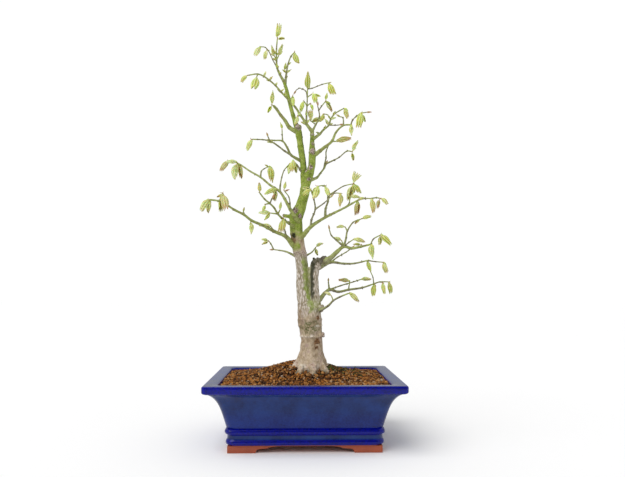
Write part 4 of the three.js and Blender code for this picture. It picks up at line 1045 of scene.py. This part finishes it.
LIMBS = {
    # The lowest long branch on the left, held out and a little towards the front.
    "branch_left_low": limb((-18, -4, 269), 214, 2.4, 1.1,
        [(10, 10), (29, 17, -2), (50, 24, 1), (68, 29, 3), (78, 36, 1), (91, 42, -2), (103, 47), (116, 51, 2),
         (128, 52)],
        [(225, 17, 0.3), (250, 14, 0.2)], [
        twig(1, 250, [(4, 6), (10, 17)], [(100, 6)], thick=1.1),
        twig(2, 190, [(4, 6)], [(160, 14, 0.1)], thick=0.8),
        twig(4, 250, [(2, -3)], [(-72, 14, 0.1)]),
        twig(5, 120, [(3, 5)], [(80, 6)], thick=1.1),
        twig(7, 190, [(1, 7), (5, 14)], [(-75, 22, 0.35), (-115, 18, 0.3)], thick=0.8),
    ]),
    # The long branch above it, held out and a little towards the back.
    "branch_left_long": limb((-11, -9, 302), 175, 2.1, 1,
        [(3, 5, 5), (9, 15, 8), (17, 30, 5), (25, 42), (40, 53, -7), (55, 66, -14), (71, 76, -20),
         (86, 87, -27), (92, 91, -30)],
        [(175, 13, 0.15), (-112, 21, 0.3), (-72, 18, 0.25)], [
        twig(2, 200, [(2, 17), (9, 26)], [(85, 10, 0.2), (20, 7)], thick=0.9),
        twig(4, 50, [(1, 9), (4, 21), (9, 32), (20, 43)], [(-80, 14, 0.2)], thick=1),
        twig(4, 215, [(5, 2)], [(-165, 15, 0.2), (-112, 13, 0.35)]),
        twig(6, 60, [(2, 9), (9, 14), (22, 20)], [(-68, 20, 0.3), (150, 6)], thick=0.9),
        twig(9, 190, [(6, 3), (12, 3)], [(-143, 17, 0.3)]),
    ]),
    "branch_left_inner": limb((-17, -8, 295), 230, 1.7, 0.9,
        [(18, 6), (34, 13, 2), (42, 21, 2), (48, 26), (56, 31, -2), (68, 38)], [(88, 11, 0.15)], [
        twig(1, 262, [(8, 2)], [(-92, 19, 0.4)], thick=0.8),
        twig(2, 190, [(10, 1)], [(178, 13, 0.2), (-140, 10, 0.15)], thick=0.8),
        twig(2, 300, [(5, 4)], [(78, 10, 0.2)], thick=0.8),
        twig(4, 180, [(6, -1)], [(-105, 9, 0.2)]),
        twig(4, 300, [(7, 7)], [(60, 6)], thick=0.8),
    ]),
    "branch_left_high": limb((-9, -3, 391), 208, 1.7, 0.9,
        [(13, 6), (19, 15, 1), (26, 24), (38, 24, -2), (46, 23)], [(175, 6)], [
        twig(1, 228, [(13, 3), (25, 8, -1), (40, 12, -2), (52, 12, -4), (60, 11, -6), (68, 10, -8)],
            [(-118, 14, 0.3)], [
            twig(3, 180, [(3, 7)], [(110, 6)]),
            twig(2, 190, [(5, 4)], [(160, 8, 0.2)]),
        ], thick=1.2, thin=0.8),
        twig(3, 100, [(4, 10), (6, 18)], [(92, 9, 0.1)], thick=0.8),
    ]),
    "branch_left_tuft": limb((-7, -5, 376), 240, 1.1, 0.7, [(8, 5), (18, 9)],
        [(-95, 15, 0.35), (-130, 10, 0.2), (-68, 13, 0.3)]),
    "branch_left_cut": limb((-14, 0, 434), 170, 2.3, 1.7, [(9, 6), (15, 16, 1), (22, 25), (28, 34, -1), (33, 40)],
        [], [
        twig(4, 200, [(7, 6)], [(92, 16, 0.2), (-135, 10, 0.2)], thick=0.8),
    ]),
    # Crosses in front of the first leader, with a tall side shoot.
    "branch_crossing": limb((8.5, -12, 432), 192, 1.8, 0.9,
        [(7, 9), (15, 20, 1), (23, 32), (31, 40), (44, 52, 2), (52, 61, 1), (60, 68), (68, 74, -2), (77, 76),
         (91, 73)],
        [(-150, 11, 0.3)], [
        twig(1, 80, [(2, 12), (6, 28), (9, 42), (11, 55)], [(95, 20, 0.2)], [
            twig(3, 140, [(3, 10), (9, 14), (15, 17), (22, 15)], [(-120, 7)]),
            twig(4, 20, [(7, 2), (15, 6), (23, 10), (34, 14)], [(-75, 19, 0.4)]),
            twig(3, 320, [(9, 3)], [(-62, 16, 0.35), (0, 10, 0.15)]),
            twig(2, 215, [(5, 6)], [(-118, 14, 0.3)]),
            twig(2, 40, [(6, 5)], [(-60, 9, 0.2)]),
        ], thick=1.1, thin=0.8),
        twig(2, 235, [(7, -2)], [(-100, 13, 0.35)], thick=0.8),
        twig(4, 20, [(4, 8)], [(-85, 13, 0.3)]),
        twig(5, 150, [(4, 2)], [(120, 6)]),
        twig(9, 240, [(3, -5)], [(-98, 23, 0.35)]),
    ]),
    "branch_right_spray": limb((11, -8, 433), 50, 1.3, 0.7, [(7, 10), (13, 22, -2), (14, 33), (14, 40, 2)],
        [(90, 7)], [
        twig(1, 135, [(9, 7)], [(100, 13, 0.5), (30, 12, 0.4)]),
        twig(3, 10, [(4, 6), (10, 14)], [(80, 9, 0.2), (-35, 14, 0.3)]),
    ]),
    "branch_right_upper": limb((14, -8, 422), 48, 1.7, 0.8,
        [(11, 8), (22, 17, 2), (32, 26), (34, 35, -2), (47, 47), (68, 60)], [(-60, 15, 0.35)], [
        twig(3, 345, [(9, -1), (16, -1)], [(10, 7)], thick=0.8),
        twig(4, 125, [(7, 8), (16, 12)], [(-105, 15, 0.3)]),
    ]),
    "branch_right_high": limb((16, -11, 398), 325, 2.1, 1,
        [(15, 8), (25, 15, 2), (33, 26), (47, 33, -3), (57, 33)], [(-85, 14, 0.15)], [
        twig(2, 10, [(6, 0)], [(18, 18, 0.25)]),
        twig(4, 130, [(1, 11), (7, 14)], [(150, 6)], thick=0.8),
        twig(5, 320, [(3, 6), (9, 10), (17, 13)], [(-98, 21, 0.35), (-50, 10, 0.2)], [
            twig(2, 30, [(7, 5), (18, 9)], [(0, 7)]),
        ], thick=0.8),
    ]),
    "branch_right_fork": limb((10, -4, 362), 38, 1.6, 1.1, [(9, 4), (16, 11, 1), (23, 20), (27, 27)], [(70, 6)], [
        twig(3, 60, [(2, 7), (4, 16, -1), (8, 26, 1), (14, 37)], [(60, 7)], thick=1, thin=0.8),
        twig(4, 345, [(12, 5), (19, 9, 2), (31, 17), (38, 16)], [(65, 14, 0.3), (-70, 10, 0.2)], thick=1, thin=0.8),
    ]),
    "branch_left_spur": limb((-14, 4, 253), 138, 1.4, 0.8, [(18, 7), (40, 11, 3)], [(180, 6)], [
        twig(2, 190, [(4, 8), (7, 12)], [(160, 9, 0.2), (-165, 9, 0.15)], thick=0.8),
    ]),
    "branch_right_spur": limb((1, 4, 253), 50, 1.2, 0.7, [(14, 6), (28, 14, 4)], [(45, 10, 0.2), (-80, 10, 0.2)]),
    # The middle branch on the right, with a shoot that comes towards the front.
    "branch_right_middle": limb((-3, -5, 281), 328, 2.4, 1.1,
        [(13, 12), (24, 19, 2), (36, 24, 1), (52, 29, -2), (69, 36), (87, 44)], [(20, 8, 0.2), (-85, 17, 0.4)], [
        twig(1, 270, [(5, 9, 1), (14, 23, 6), (20, 36, 4), (26, 48, 0)], [(-150, 13, 0.35), (150, 10, 0.25)], [
            twig(2, 320, [(15, 7), (26, 14)], [(40, 7)], thick=1),
        ], thick=1.2, thin=0.9),
        twig(3, 285, [(2, 12, 0), (6, 21, 2), (10, 30, 3)], [], [
            twig(2, 200, [(1, 14), (6, 22), (15, 21)], [(-95, 19, 0.3), (-140, 11, 0.25)], [
                twig(2, 290, [(6, -1)], [(-75, 13, 0.35)]),
            ], thick=0.9),
            twig(3, 335, [(9, 5), (21, 11), (34, 13)], [(70, 15, 0.6), (-40, 13, 0.4), (-100, 21, 0.3)], thick=0.9),
            twig(3, 305, [(12, 1), (24, -1)], [(-82, 17, 0.2)], thick=0.8),
        ], thick=1.4, thin=0.9),
        twig(5, 20, [(5, 6), (6, 14)], [(10, 11, 0.2)]),
        twig(6, 320, [(12, 1), (21, 0)], [(-70, 16, 0.3)], [
            twig(2, 350, [(7, 1), (12, 0)], [(-35, 11, 0.3), (-110, 10, 0.3)]),
        ], thick=0.8),
    ]),
    # The stout branch from the top of the cut-back second trunk.
    "branch_stump_upper": limb((24, -7, 244), 341, 3.1, 1.1,
        [(12, 5), (22, 14, 1), (32, 21), (43, 18, -2), (56, 20, -1), (70, 23)], [(-92, 18, 0.15)], [
        twig(3, 200, [(12, 9), (19, 15), (22, 23)], [(100, 7)], thick=1.3, thin=0.8),
        twig(3, 35, [(4, 12), (8, 22, 2), (17, 35), (32, 41)], [(20, 12, 0.3), (-160, 9, 0.2)], [
            twig(2, 150, [(3, 6)], [(165, 10, 0.2)]),
        ], thick=1.2, thin=0.8),
        twig(3, 120, [(5, 8)], [(140, 10, 0.2)]),
        twig(3, 300, [(13, 5), (23, 8)], [(3, 13, 0.25)], thick=0.9),
        twig(5, 70, [(5, 3)], [(170, 9, 0.2)]),
        twig(6, 330, [(4, 7), (14, 12)], [(-38, 17, 0.3), (-80, 12, 0.25)], thick=0.8),
    ]),
    "branch_stump_lower": limb((21, -2, 236), 33, 2, 1, [(19, 8), (43, 7, 1), (65, 8, 3), (88, 13)],
        [(-85, 14, 0.3)], [
        twig(1, 50, [(16, 8), (34, 16, -2), (52, 23)], [(40, 7)], thick=1, thin=0.8),
        twig(4, 340, [(12, -2), (23, -3)], [(-70, 15, 0.35)], thick=0.8),
    ]),
    # The lowest branches on the right.
    "branch_right_low": limb((21, -2, 191), 34, 2.2, 1,
        [(9, 9), (17, 14), (36, 11, 3), (52, 14), (75, 17, -3), (101, 23)], [(-90, 17, 0.35)], [
        twig(2, 110, [(4, 12)], [(90, 5)], thick=1, thin=0.8),
        twig(2, 50, [(30, 6, 2), (60, 12), (80, 16)], [(12, 13, 0.25)], thick=1.1, thin=0.8),
        twig(4, 330, [(2, 12)], [(158, 14, 0.25)], thick=0.8),
        twig(6, 120, [(2, 10), (8, 19)], [(110, 9, 0.2)]),
        twig(6, 350, [(9, 3), (22, 3)], [(-70, 15, 0.35)], [twig(1, 290, [(8, -1)], [(-80, 14, 0.35)])], thick=0.8),
    ]),
    "branch_right_lowest": limb((21, -10, 176), 318, 1.6, 0.9, [(15, 7), (23, 14, 1), (35, 19), (50, 24)],
        [(-22, 14, 0.3)], [
        twig(2, 110, [(6, 6)], [(135, 9, 0.2)]),
    ]),
    "shoot_apex_left": limb((-31, 0, 508), 190, 1.6, 0.8, [(6, 10), (10, 19, 1), (11, 31), (11, 48, -1), (10, 64)],
        [(75, 16, 0.45), (30, 9, 0.3)], [
        twig(2, 215, [(8, 11), (15, 22), (21, 26), (28, 25)], [(-128, 15, 0.35)], [
            twig(2, 255, [(7, -1)], [(-110, 12, 0.3)]),
        ], thick=0.8),
        twig(3, 130, [(5, 8)], [(108, 13, 0.15)]),
        twig(3, 330, [(4, 7)], [(80, 14, 0.2)]),
    ]),
    "shoot_apex_right": limb((-29, 1, 505), 30, 1.4, 0.8, [(2, 17), (4, 30, -1), (8, 42, -2), (13, 49, -3)],
        [(-78, 18, 0.3)], [
        twig(1, 160, [(3, 3)], [(85, 10, 0.2)], thick=0.8),
    ]),
}


def route_of(start, stem):
    """World points of a stem from its parent's point."""
    turn = math.radians(stem["bearing"])
    out = Vector((math.cos(turn), math.sin(turn), 0))
    aside = Vector((-math.sin(turn), math.cos(turn), 0))
    route = [start.copy()]
    for reach, rise, *offset in stem["path"]:
        route.append(start + out * reach + aside * (offset[0] if offset else 0) + UP * rise)
    return route


def growth_source():
    """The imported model's own sequence of numbers from 0 to 1, by a linear congruential generator."""
    state, limit = SEED_OF_GROWTH * 31, 2 ** 32
    while True:
        state = (state * 1664525 + 1013904223) % limit
        yield state / limit


class Branch:
    """The meshes of one branch as it grows: wood, and foliage with its stalks."""

    def __init__(self, growth, seed):
        self.wood = new_bmesh("fresh", "knot", "upper")
        self.foliage = new_bmesh("tone", "blush")
        self.foliage.loops.layers.uv.new("lobe")
        self.growth = growth
        self.chance = random.Random(seed)

    def grow(self, stem, route, buried=0.0):
        """Adds a stem, the leaves at its end, and its twigs in turn. buried is how far it goes on into its parent."""
        self.add_wood(stem, route, buried)
        end = route[-1]
        heading = (end - route[-2]).normalized()
        grows = stem["grows"]
        for k, (angle, length, *spread) in enumerate(grows):
            angle = math.radians(angle)
            shift = (k - (len(grows) - 1) / 2) * LEAF_SPACING
            along = Vector((math.cos(angle), shift * 0.05 + (next(self.growth) - 0.5) * 0.3, math.sin(angle)))
            along.normalize()
            turn = (next(self.growth) - 0.5) * 1.6
            face = Vector((math.sin(turn), (1 if shift > 0 else -1) * math.cos(turn), 0.1))
            face = (face - along * face.dot(along)).normalized()
            if not spread:
                self.add_bud(end - heading * 0.8, along, length + 0.8)
                continue
            knee = end + Vector((0, shift * 0.6, 0)) + heading * 0.8
            base = end + Vector((0, shift, 0)) + along * 1.8
            points = [end - heading * 0.8, base] if shift == 0 else [end - heading * 0.8, knee, base]
            blush = self.chance.uniform(0.2, 0.9)
            self.add_strand(points, 0.9, lambda i, rows: 0.62 - 0.14 * i / rows, blush)
            self.add_scales(end, heading, length)
            self.add_blade(base, along, face, length - 1, spread[0])
            if length > SMALL_LEAF:
                step = Vector([self.chance.uniform(-0.6, 0.6) for _ in range(3)])
                small = (along + heading * 0.5 + step).normalized()
                turned = (face - small * face.dot(small)).normalized()
                self.add_blade(base - along * 1.5, small, turned, length * 0.45, 0.1)
        for child in stem["twigs"]:
            self.grow(child, route_of(route[child["at"]], child))

    def add_wood(self, stem, route, buried):
        """The stem, swollen and darker at its nodes, with a small bud or late leaf on some."""
        line = curve_through(route, 1.6)
        if buried:
            back = (line[0] - line[1]).normalized()
            line = [line[0] + back * buried, line[0] + back * buried / 2] + line
        thick, thin = stem["radii"]
        bears = any(len(growth) > 2 for growth in stem["grows"])
        rows = len(line)
        total = (route[0] - route[-1]).length
        nodes = list(route[1:-1])
        for before, after in zip(route, route[1:]):
            if (after - before).length > NODE_SPACING:
                nodes.append((before + after) / 2 + UP * 0.3)
        nodes = [min(line, key=lambda place: (place - node).length) for node in nodes]
        radii, fresh, knots = [], [], []
        for i, place in enumerate(line):
            share = i / max(1, rows - 1)
            near = min((place - node).length for node in [*nodes, route[-1]])
            knot = band(near, 0, 1.4)
            wave = 1 + 0.08 * lump(place, 4, 8.0)
            base = WOOD_STRETCH + BASE_SWELL * math.exp(-(place - route[0]).length / (7 * thick))
            radii.append((thick + (thin - thick) * share) * wave * (1 + 0.3 * knot / (0.6 + thick)) * base)
            knots.append(0.8 * knot / (0.5 + thick))
            high = smooth_step(place.z, 236, 262)
            tender = 1 - smooth_step((1 - share) * total, 3, 14) if bears else 0.0
            fresh.append(max(tender, 0.7 * high * smooth_step(thick, 0.8, 1.9)))
        radii[-1] *= 0.55
        sides = 10 if thick > 1.8 else 8 if thick > 1 else 6
        self.add_stem(line, radii, sides, fresh, knots)
        for node in nodes:
            at = min(range(rows), key=lambda i: (line[i] - node).length)
            way = (line[min(at + 1, rows - 1)] - line[max(at - 1, 0)]).normalized()
            across = Matrix.Rotation(self.chance.uniform(0, math.pi), 3, way) @ way.orthogonal().normalized()
            for sign in (-1, 1):
                if self.chance.random() < 0.5:
                    self.add_spur(node, (across * sign + way * self.chance.uniform(0.2, 0.9)).normalized(), radii[at])
                elif node.z > LATE_LEAVES and thick < 2 and radii[at] > 1.25:
                    out = (across * sign * 0.7 + UP).normalized()
                    start = node + across * sign * radii[at] * 0.6
                    self.add_blade(start, out, out.orthogonal().normalized(), self.chance.uniform(5, 8), 0.15)

    def add_stem(self, line, radii, sides, fresh, knots):
        """A stem with its tints, and with its upper side marked."""
        bm = self.wood
        layers = [bm.verts.layers.float[name] for name in ("fresh", "knot", "upper")]
        for i, vert in enumerate(sweep(bm, line, radii, sides)):
            row = i // sides
            # How far up a corner faces, for the greener upper side that is partly painted light.
            upper = 0.5 + 0.5 * (vert.co - line[row]).normalized().z
            for layer, value in zip(layers, (fresh[row], knots[row], upper)):
                vert[layer] = value

    def add_spur(self, node, way, radius):
        """A resting bud beside a node."""
        length = self.chance.uniform(0.5, 1.7)
        line = [node + way * (radius * 0.4 + (radius * 0.6 + length) * share) for share in (0, 0.4, 0.75, 1.0)]
        size = self.chance.uniform(0.8, 1.3)
        radii = [0.5 * size, 0.75 * size, 0.55 * size, 0.12]
        self.add_stem(line, radii, 5, [0.1] * 4, [0.6, 0.65, 0.4, 0.2])

    def add_strand(self, points, spacing, radius, blush, reddening=0.0, **shape):
        """A stalk, scale or bud leaf through the points. radius(row, rows) is how thick a row is, and its blush
        grows by the reddening towards the end."""
        line = curve_through(points, spacing)
        rows, sides = len(line), 6
        verts = sweep(self.foliage, line, [radius(i, rows) for i in range(rows)], sides, **shape)
        layer = self.foliage.verts.layers.float["blush"]
        for i, vert in enumerate(verts):
            vert[layer] = min(1.0, blush + reddening * (i // sides) / rows)
        faces = list({face for vert in verts for face in vert.link_faces})
        bmesh.ops.recalc_face_normals(self.foliage, faces=faces)
        for face in faces:
            face.material_index = 1

    def add_bud(self, start, along, length):
        """A closed bud: pointed scales laid over each other."""
        across = along.orthogonal().normalized()
        blush = self.chance.random()
        for k in range(3):
            lean = Matrix.Rotation(k / 3 * math.tau, 3, along) @ across
            tip = start + along * length * (1 - 0.12 * k) + lean * 0.25
            self.add_strand(
                [start, start.lerp(tip, 0.5) + lean * 0.45, tip], length / 6,
                lambda i, rows: 0.25 + 1.0 * math.sin(math.pi * (i / (rows - 1)) ** 0.8),
                blush * 0.6, reddening=0.5, flat=0.55, facing=lean)

    def add_scales(self, end, heading, length):
        """The pair of bud scales that stay at the foot of an opened leaf."""
        across = heading.orthogonal().normalized()
        across = Matrix.Rotation(self.chance.uniform(0, math.pi), 3, heading) @ across
        for sign in (-1, 1):
            size = length * self.chance.uniform(0.16, 0.28)
            lean = across * sign
            tip = end + (heading * 0.8 + lean * 0.55) * size
            self.add_strand(
                [end - heading * 0.6, end + (heading * 0.5 + lean * 0.15) * size, tip], size / 4,
                lambda i, rows: 0.15 + 0.75 * math.sin(math.pi * (i / (rows - 1)) ** 0.7),
                self.chance.random(), flat=0.35, facing=lean)

    def add_blade(self, base, along, face, length, spread):
        """A leaf just out of its bud. Its pleated lobes hang together like a furled umbrella and bend a little."""
        chance = self.chance
        bm = new_bmesh("tone", "blush")
        uv = bm.loops.layers.uv.new("lobe")
        side = along.cross(face)
        lobes = 7 if length > SMALL_LEAF - 1 else 5
        turn = math.radians(270 - 60 * min(1.0, 1.6 * spread)) / (lobes - 1)
        middle = (lobes - 1) / 2
        length *= LEAF_STRETCH
        opening = math.radians(62 * spread ** 2)
        plump = 0.24 - 0.13 * min(1.0, 1.1 * spread)
        pleat = 0.45 - 0.3 * min(1.0, 1.4 * spread)
        reaches = [length * (1 - 0.06 * abs(k - middle) ** 1.5) * chance.uniform(0.93, 1.03) for k in range(lobes)]
        opens = [opening * chance.uniform(0.7, 1.3) for _ in range(lobes)]
        curls = [chance.uniform(-0.03, 0.07) for _ in range(lobes)]
        # The tip bends towards the ground, or to any side where the leaf already hangs down.
        sag = UP.cross(along)
        sag = along.cross(sag) * -1 if sag.length > 0.35 else face
        sag = (sag.normalized() + 0.5 * face * chance.uniform(-1, 1)).normalized()
        sag = (sag - along * sag.dot(along)).normalized()
        bend = math.radians(chance.uniform(15, 55)) * (1 - 0.6 * spread)

        def swell(v):
            return plump * math.sin(math.pi * v ** 0.72)

        for lobe in range(lobes):
            x, y = LOBE_FACES
            grid = bmesh.ops.create_grid(bm, x_segments=x, y_segments=y, size=0.5)["verts"]
            flat = {vert: (vert.co.x * 2, vert.co.y + 0.5) for vert in grid}
            for panel in {f for vert in grid for f in vert.link_faces}:
                for corner in panel.loops:
                    u, v = flat[corner.vert]
                    corner[uv].uv = (u / 2 + 0.5, v)
            around = (lobe - middle) * turn
            for vert, (u, v) in flat.items():
                other = min(lobes - 1, max(0, lobe + (1 if u > 0 else -1)))
                share = abs(u) / 2
                reach = reaches[lobe] + (reaches[other] - reaches[lobe]) * share
                lean = opens[lobe] + (opens[other] - opens[lobe]) * share
                free = max(0.0, (v - JOINED) / (1 - JOINED))
                out = reach * (math.sin(lean) * v + swell(v) + curls[lobe] * free * free)
                joined = reach * (math.sin(lean) * min(v, JOINED) + swell(min(v, JOINED)))
                width = (1 - free) ** 0.8 * (1 + 0.9 * free)
                if free > 0 and abs(u) > 0.9:
                    width *= 1 + 0.07 * (-1) ** round(v * LOBE_FACES[1])
                inner = (joined + out) / 2 * width * (1 - pleat * abs(u))
                across = inner * math.sin(u * turn / 2)
                radial = out - (joined + out) / 2 * width + inner * math.cos(u * turn / 2)
                away = face * (math.cos(around) * radial - math.sin(around) * across)
                away += side * (math.sin(around) * radial + math.cos(around) * across)
                # The straight axis is laid round an arc, and what stands off it turns with it.
                angle = bend * v
                axis = along * math.sin(angle) + sag * (1 - math.cos(angle))
                tilt = away.dot(sag)
                away += sag * tilt * (math.cos(angle) - 1) - along * tilt * math.sin(angle)
                vert.co = base + axis * reach * math.cos(lean) / bend + away
        bmesh.ops.remove_doubles(bm, verts=bm.verts, dist=0.002)
        bmesh.ops.recalc_face_normals(bm, faces=bm.faces)
        out = bmesh.ops.extrude_face_region(bm, geom=bm.faces[:], use_keep_orig=True)["geom"]
        lifted = {item for item in out if isinstance(item, bmesh.types.BMFace)}
        bm.normal_update()
        for vert in (item for item in out if isinstance(item, bmesh.types.BMVert)):
            normal = sum((face.normal for face in vert.link_faces if face in lifted), Vector()).normalized()
            vert.co += normal * bpy.context.scene.maple_tree.blade / MM
        bmesh.ops.recalc_face_normals(bm, faces=bm.faces)
        if bm.calc_volume(signed=True) < 0:
            bmesh.ops.reverse_faces(bm, faces=bm.faces)
        tone, blush = bm.verts.layers.float["tone"], bm.verts.layers.float["blush"]
        leaf_tone, leaf_blush = chance.random(), chance.random()
        for vert in bm.verts:
            vert[tone] = leaf_tone
            vert[blush] = leaf_blush
        append(self.foliage, bm)


class MAPLE_OT_branches(bpy.types.Operator):
    """Grows every branch with its twigs, buds and opening leaves"""

    bl_idname = "maple.branches"
    bl_label = "Branches and leaves"

    def execute(self, context):
        settings = context.scene.maple_tree
        bark, blade, stalk = twig_bark(), leaf_blade(settings), leaf_stalk()
        growth = growth_source()
        for seed, (node, stem) in enumerate(LIMBS.items()):
            branch = Branch(growth, seed)
            branch.grow(stem, route_of(Vector(stem["root"]), stem), BURIED)
            bmesh.ops.recalc_face_normals(branch.wood, faces=branch.wood.faces)
            add_piece(node + "_wood", branch.wood, [bark], [node])
            add_piece(node + "_foliage", branch.foliage, [blade, stalk], [node])
        return {"FINISHED"}


# The stage.

class MAPLE_OT_stage(bpy.types.Operator):
    """Sets the pale floor, the soft light and the camera"""

    bl_idname = "maple.stage"
    bl_label = "Stage"

    def execute(self, context):
        settings = context.scene.maple_stage
        scene = context.scene
        bm = bmesh.new()
        bmesh.ops.create_circle(bm, segments=64, radius=FLOOR_RADIUS, cap_ends=True)
        bmesh.ops.translate(bm, verts=bm.verts, vec=(0, 0, -FLOOR_DROP))
        floor = as_object("floor", as_mesh("floor", bm))
        floor.data.materials.append(backdrop_paper(settings))

        world = bpy.data.worlds.new("soft_room")
        world.use_nodes = True
        tree = world.node_tree
        room = tree.nodes["Background"].inputs
        room["Color"].default_value = linear("#ffffff")
        seen = add_node(tree, "LightPath", out="Is Camera Ray")
        tree.links.new(add_node(tree, "MapRange", [seen, 0, 1, settings.sky, BACKDROP_STRENGTH]), room["Strength"])
        scene.world = world

        lamp = bpy.data.lights.new("key", "SUN")
        lamp.angle = math.radians(KEY_ANGLE)
        lamp.energy = settings.key
        as_object("key", lamp).rotation_euler = KEY_WAY.to_track_quat("-Z", "Y").to_euler()

        # A dark card in front, which only the glaze's reflections see, keeps its upright faces deep.
        bm = bmesh.new()
        upright = Matrix.Rotation(math.pi / 2, 4, "X")
        bmesh.ops.create_grid(bm, x_segments=1, y_segments=1, size=CARD_HALF, matrix=upright)
        bmesh.ops.translate(bm, verts=bm.verts, vec=CARD_PLACE)
        card = as_object("dark_card", as_mesh("dark_card", bm))
        felt = new_material("black_felt", {"Base Color": linear("#050505"), "Roughness": 1.0})[0]
        card.data.materials.append(felt)
        card.visible_camera = card.visible_diffuse = card.visible_shadow = False

        lens = bpy.data.cameras.new("camera")
        lens.lens = LENS
        camera = as_object("camera", lens)
        camera.location = CAMERA_PLACE
        camera.rotation_euler = CAMERA_TURN
        scene.camera = camera
        scene.view_settings.view_transform = "Standard"
        return {"FINISHED"}


class MAPLE_PT_panel(bpy.types.Panel):
    """The bonsai's pieces and their sizes"""

    bl_idname = "MAPLE_PT_panel"
    bl_label = "Maple bonsai"
    bl_space_type = "VIEW_3D"
    bl_region_type = "UI"
    bl_category = "Maple"

    def draw(self, context):
        for group in GROUPS:
            box = self.layout.box()
            for name in GROUPS[group].__annotations__:
                box.prop(getattr(context.scene, group), name)
        for operator in OPERATORS:
            self.layout.operator(operator.bl_idname)


GROUPS = {
    "maple_pot": MaplePotSettings,
    "maple_soil": MapleSoilSettings,
    "maple_tree": MapleTreeSettings,
    "maple_stage": MapleStageSettings,
}
OPERATORS = (
    MAPLE_OT_pot, MAPLE_OT_screens, MAPLE_OT_soil, MAPLE_OT_trunk, MAPLE_OT_branches, MAPLE_OT_stage,
)


def register():
    for kind in (*GROUPS.values(), *OPERATORS, MAPLE_PT_panel):
        bpy.utils.register_class(kind)
    for name, group in GROUPS.items():
        setattr(bpy.types.Scene, name, bpy.props.PointerProperty(type=group))


def unregister():
    for name in GROUPS:
        delattr(bpy.types.Scene, name)
    for kind in reversed((*GROUPS.values(), *OPERATORS, MAPLE_PT_panel)):
        bpy.utils.unregister_class(kind)


def main():
    """Builds everything in order."""
    register()
    bpy.ops.maple.pot()
    bpy.ops.maple.screens()
    bpy.ops.maple.soil()
    bpy.ops.maple.trunk()
    bpy.ops.maple.branches()
    bpy.ops.maple.stage()


if __name__ == "__main__":
    main()
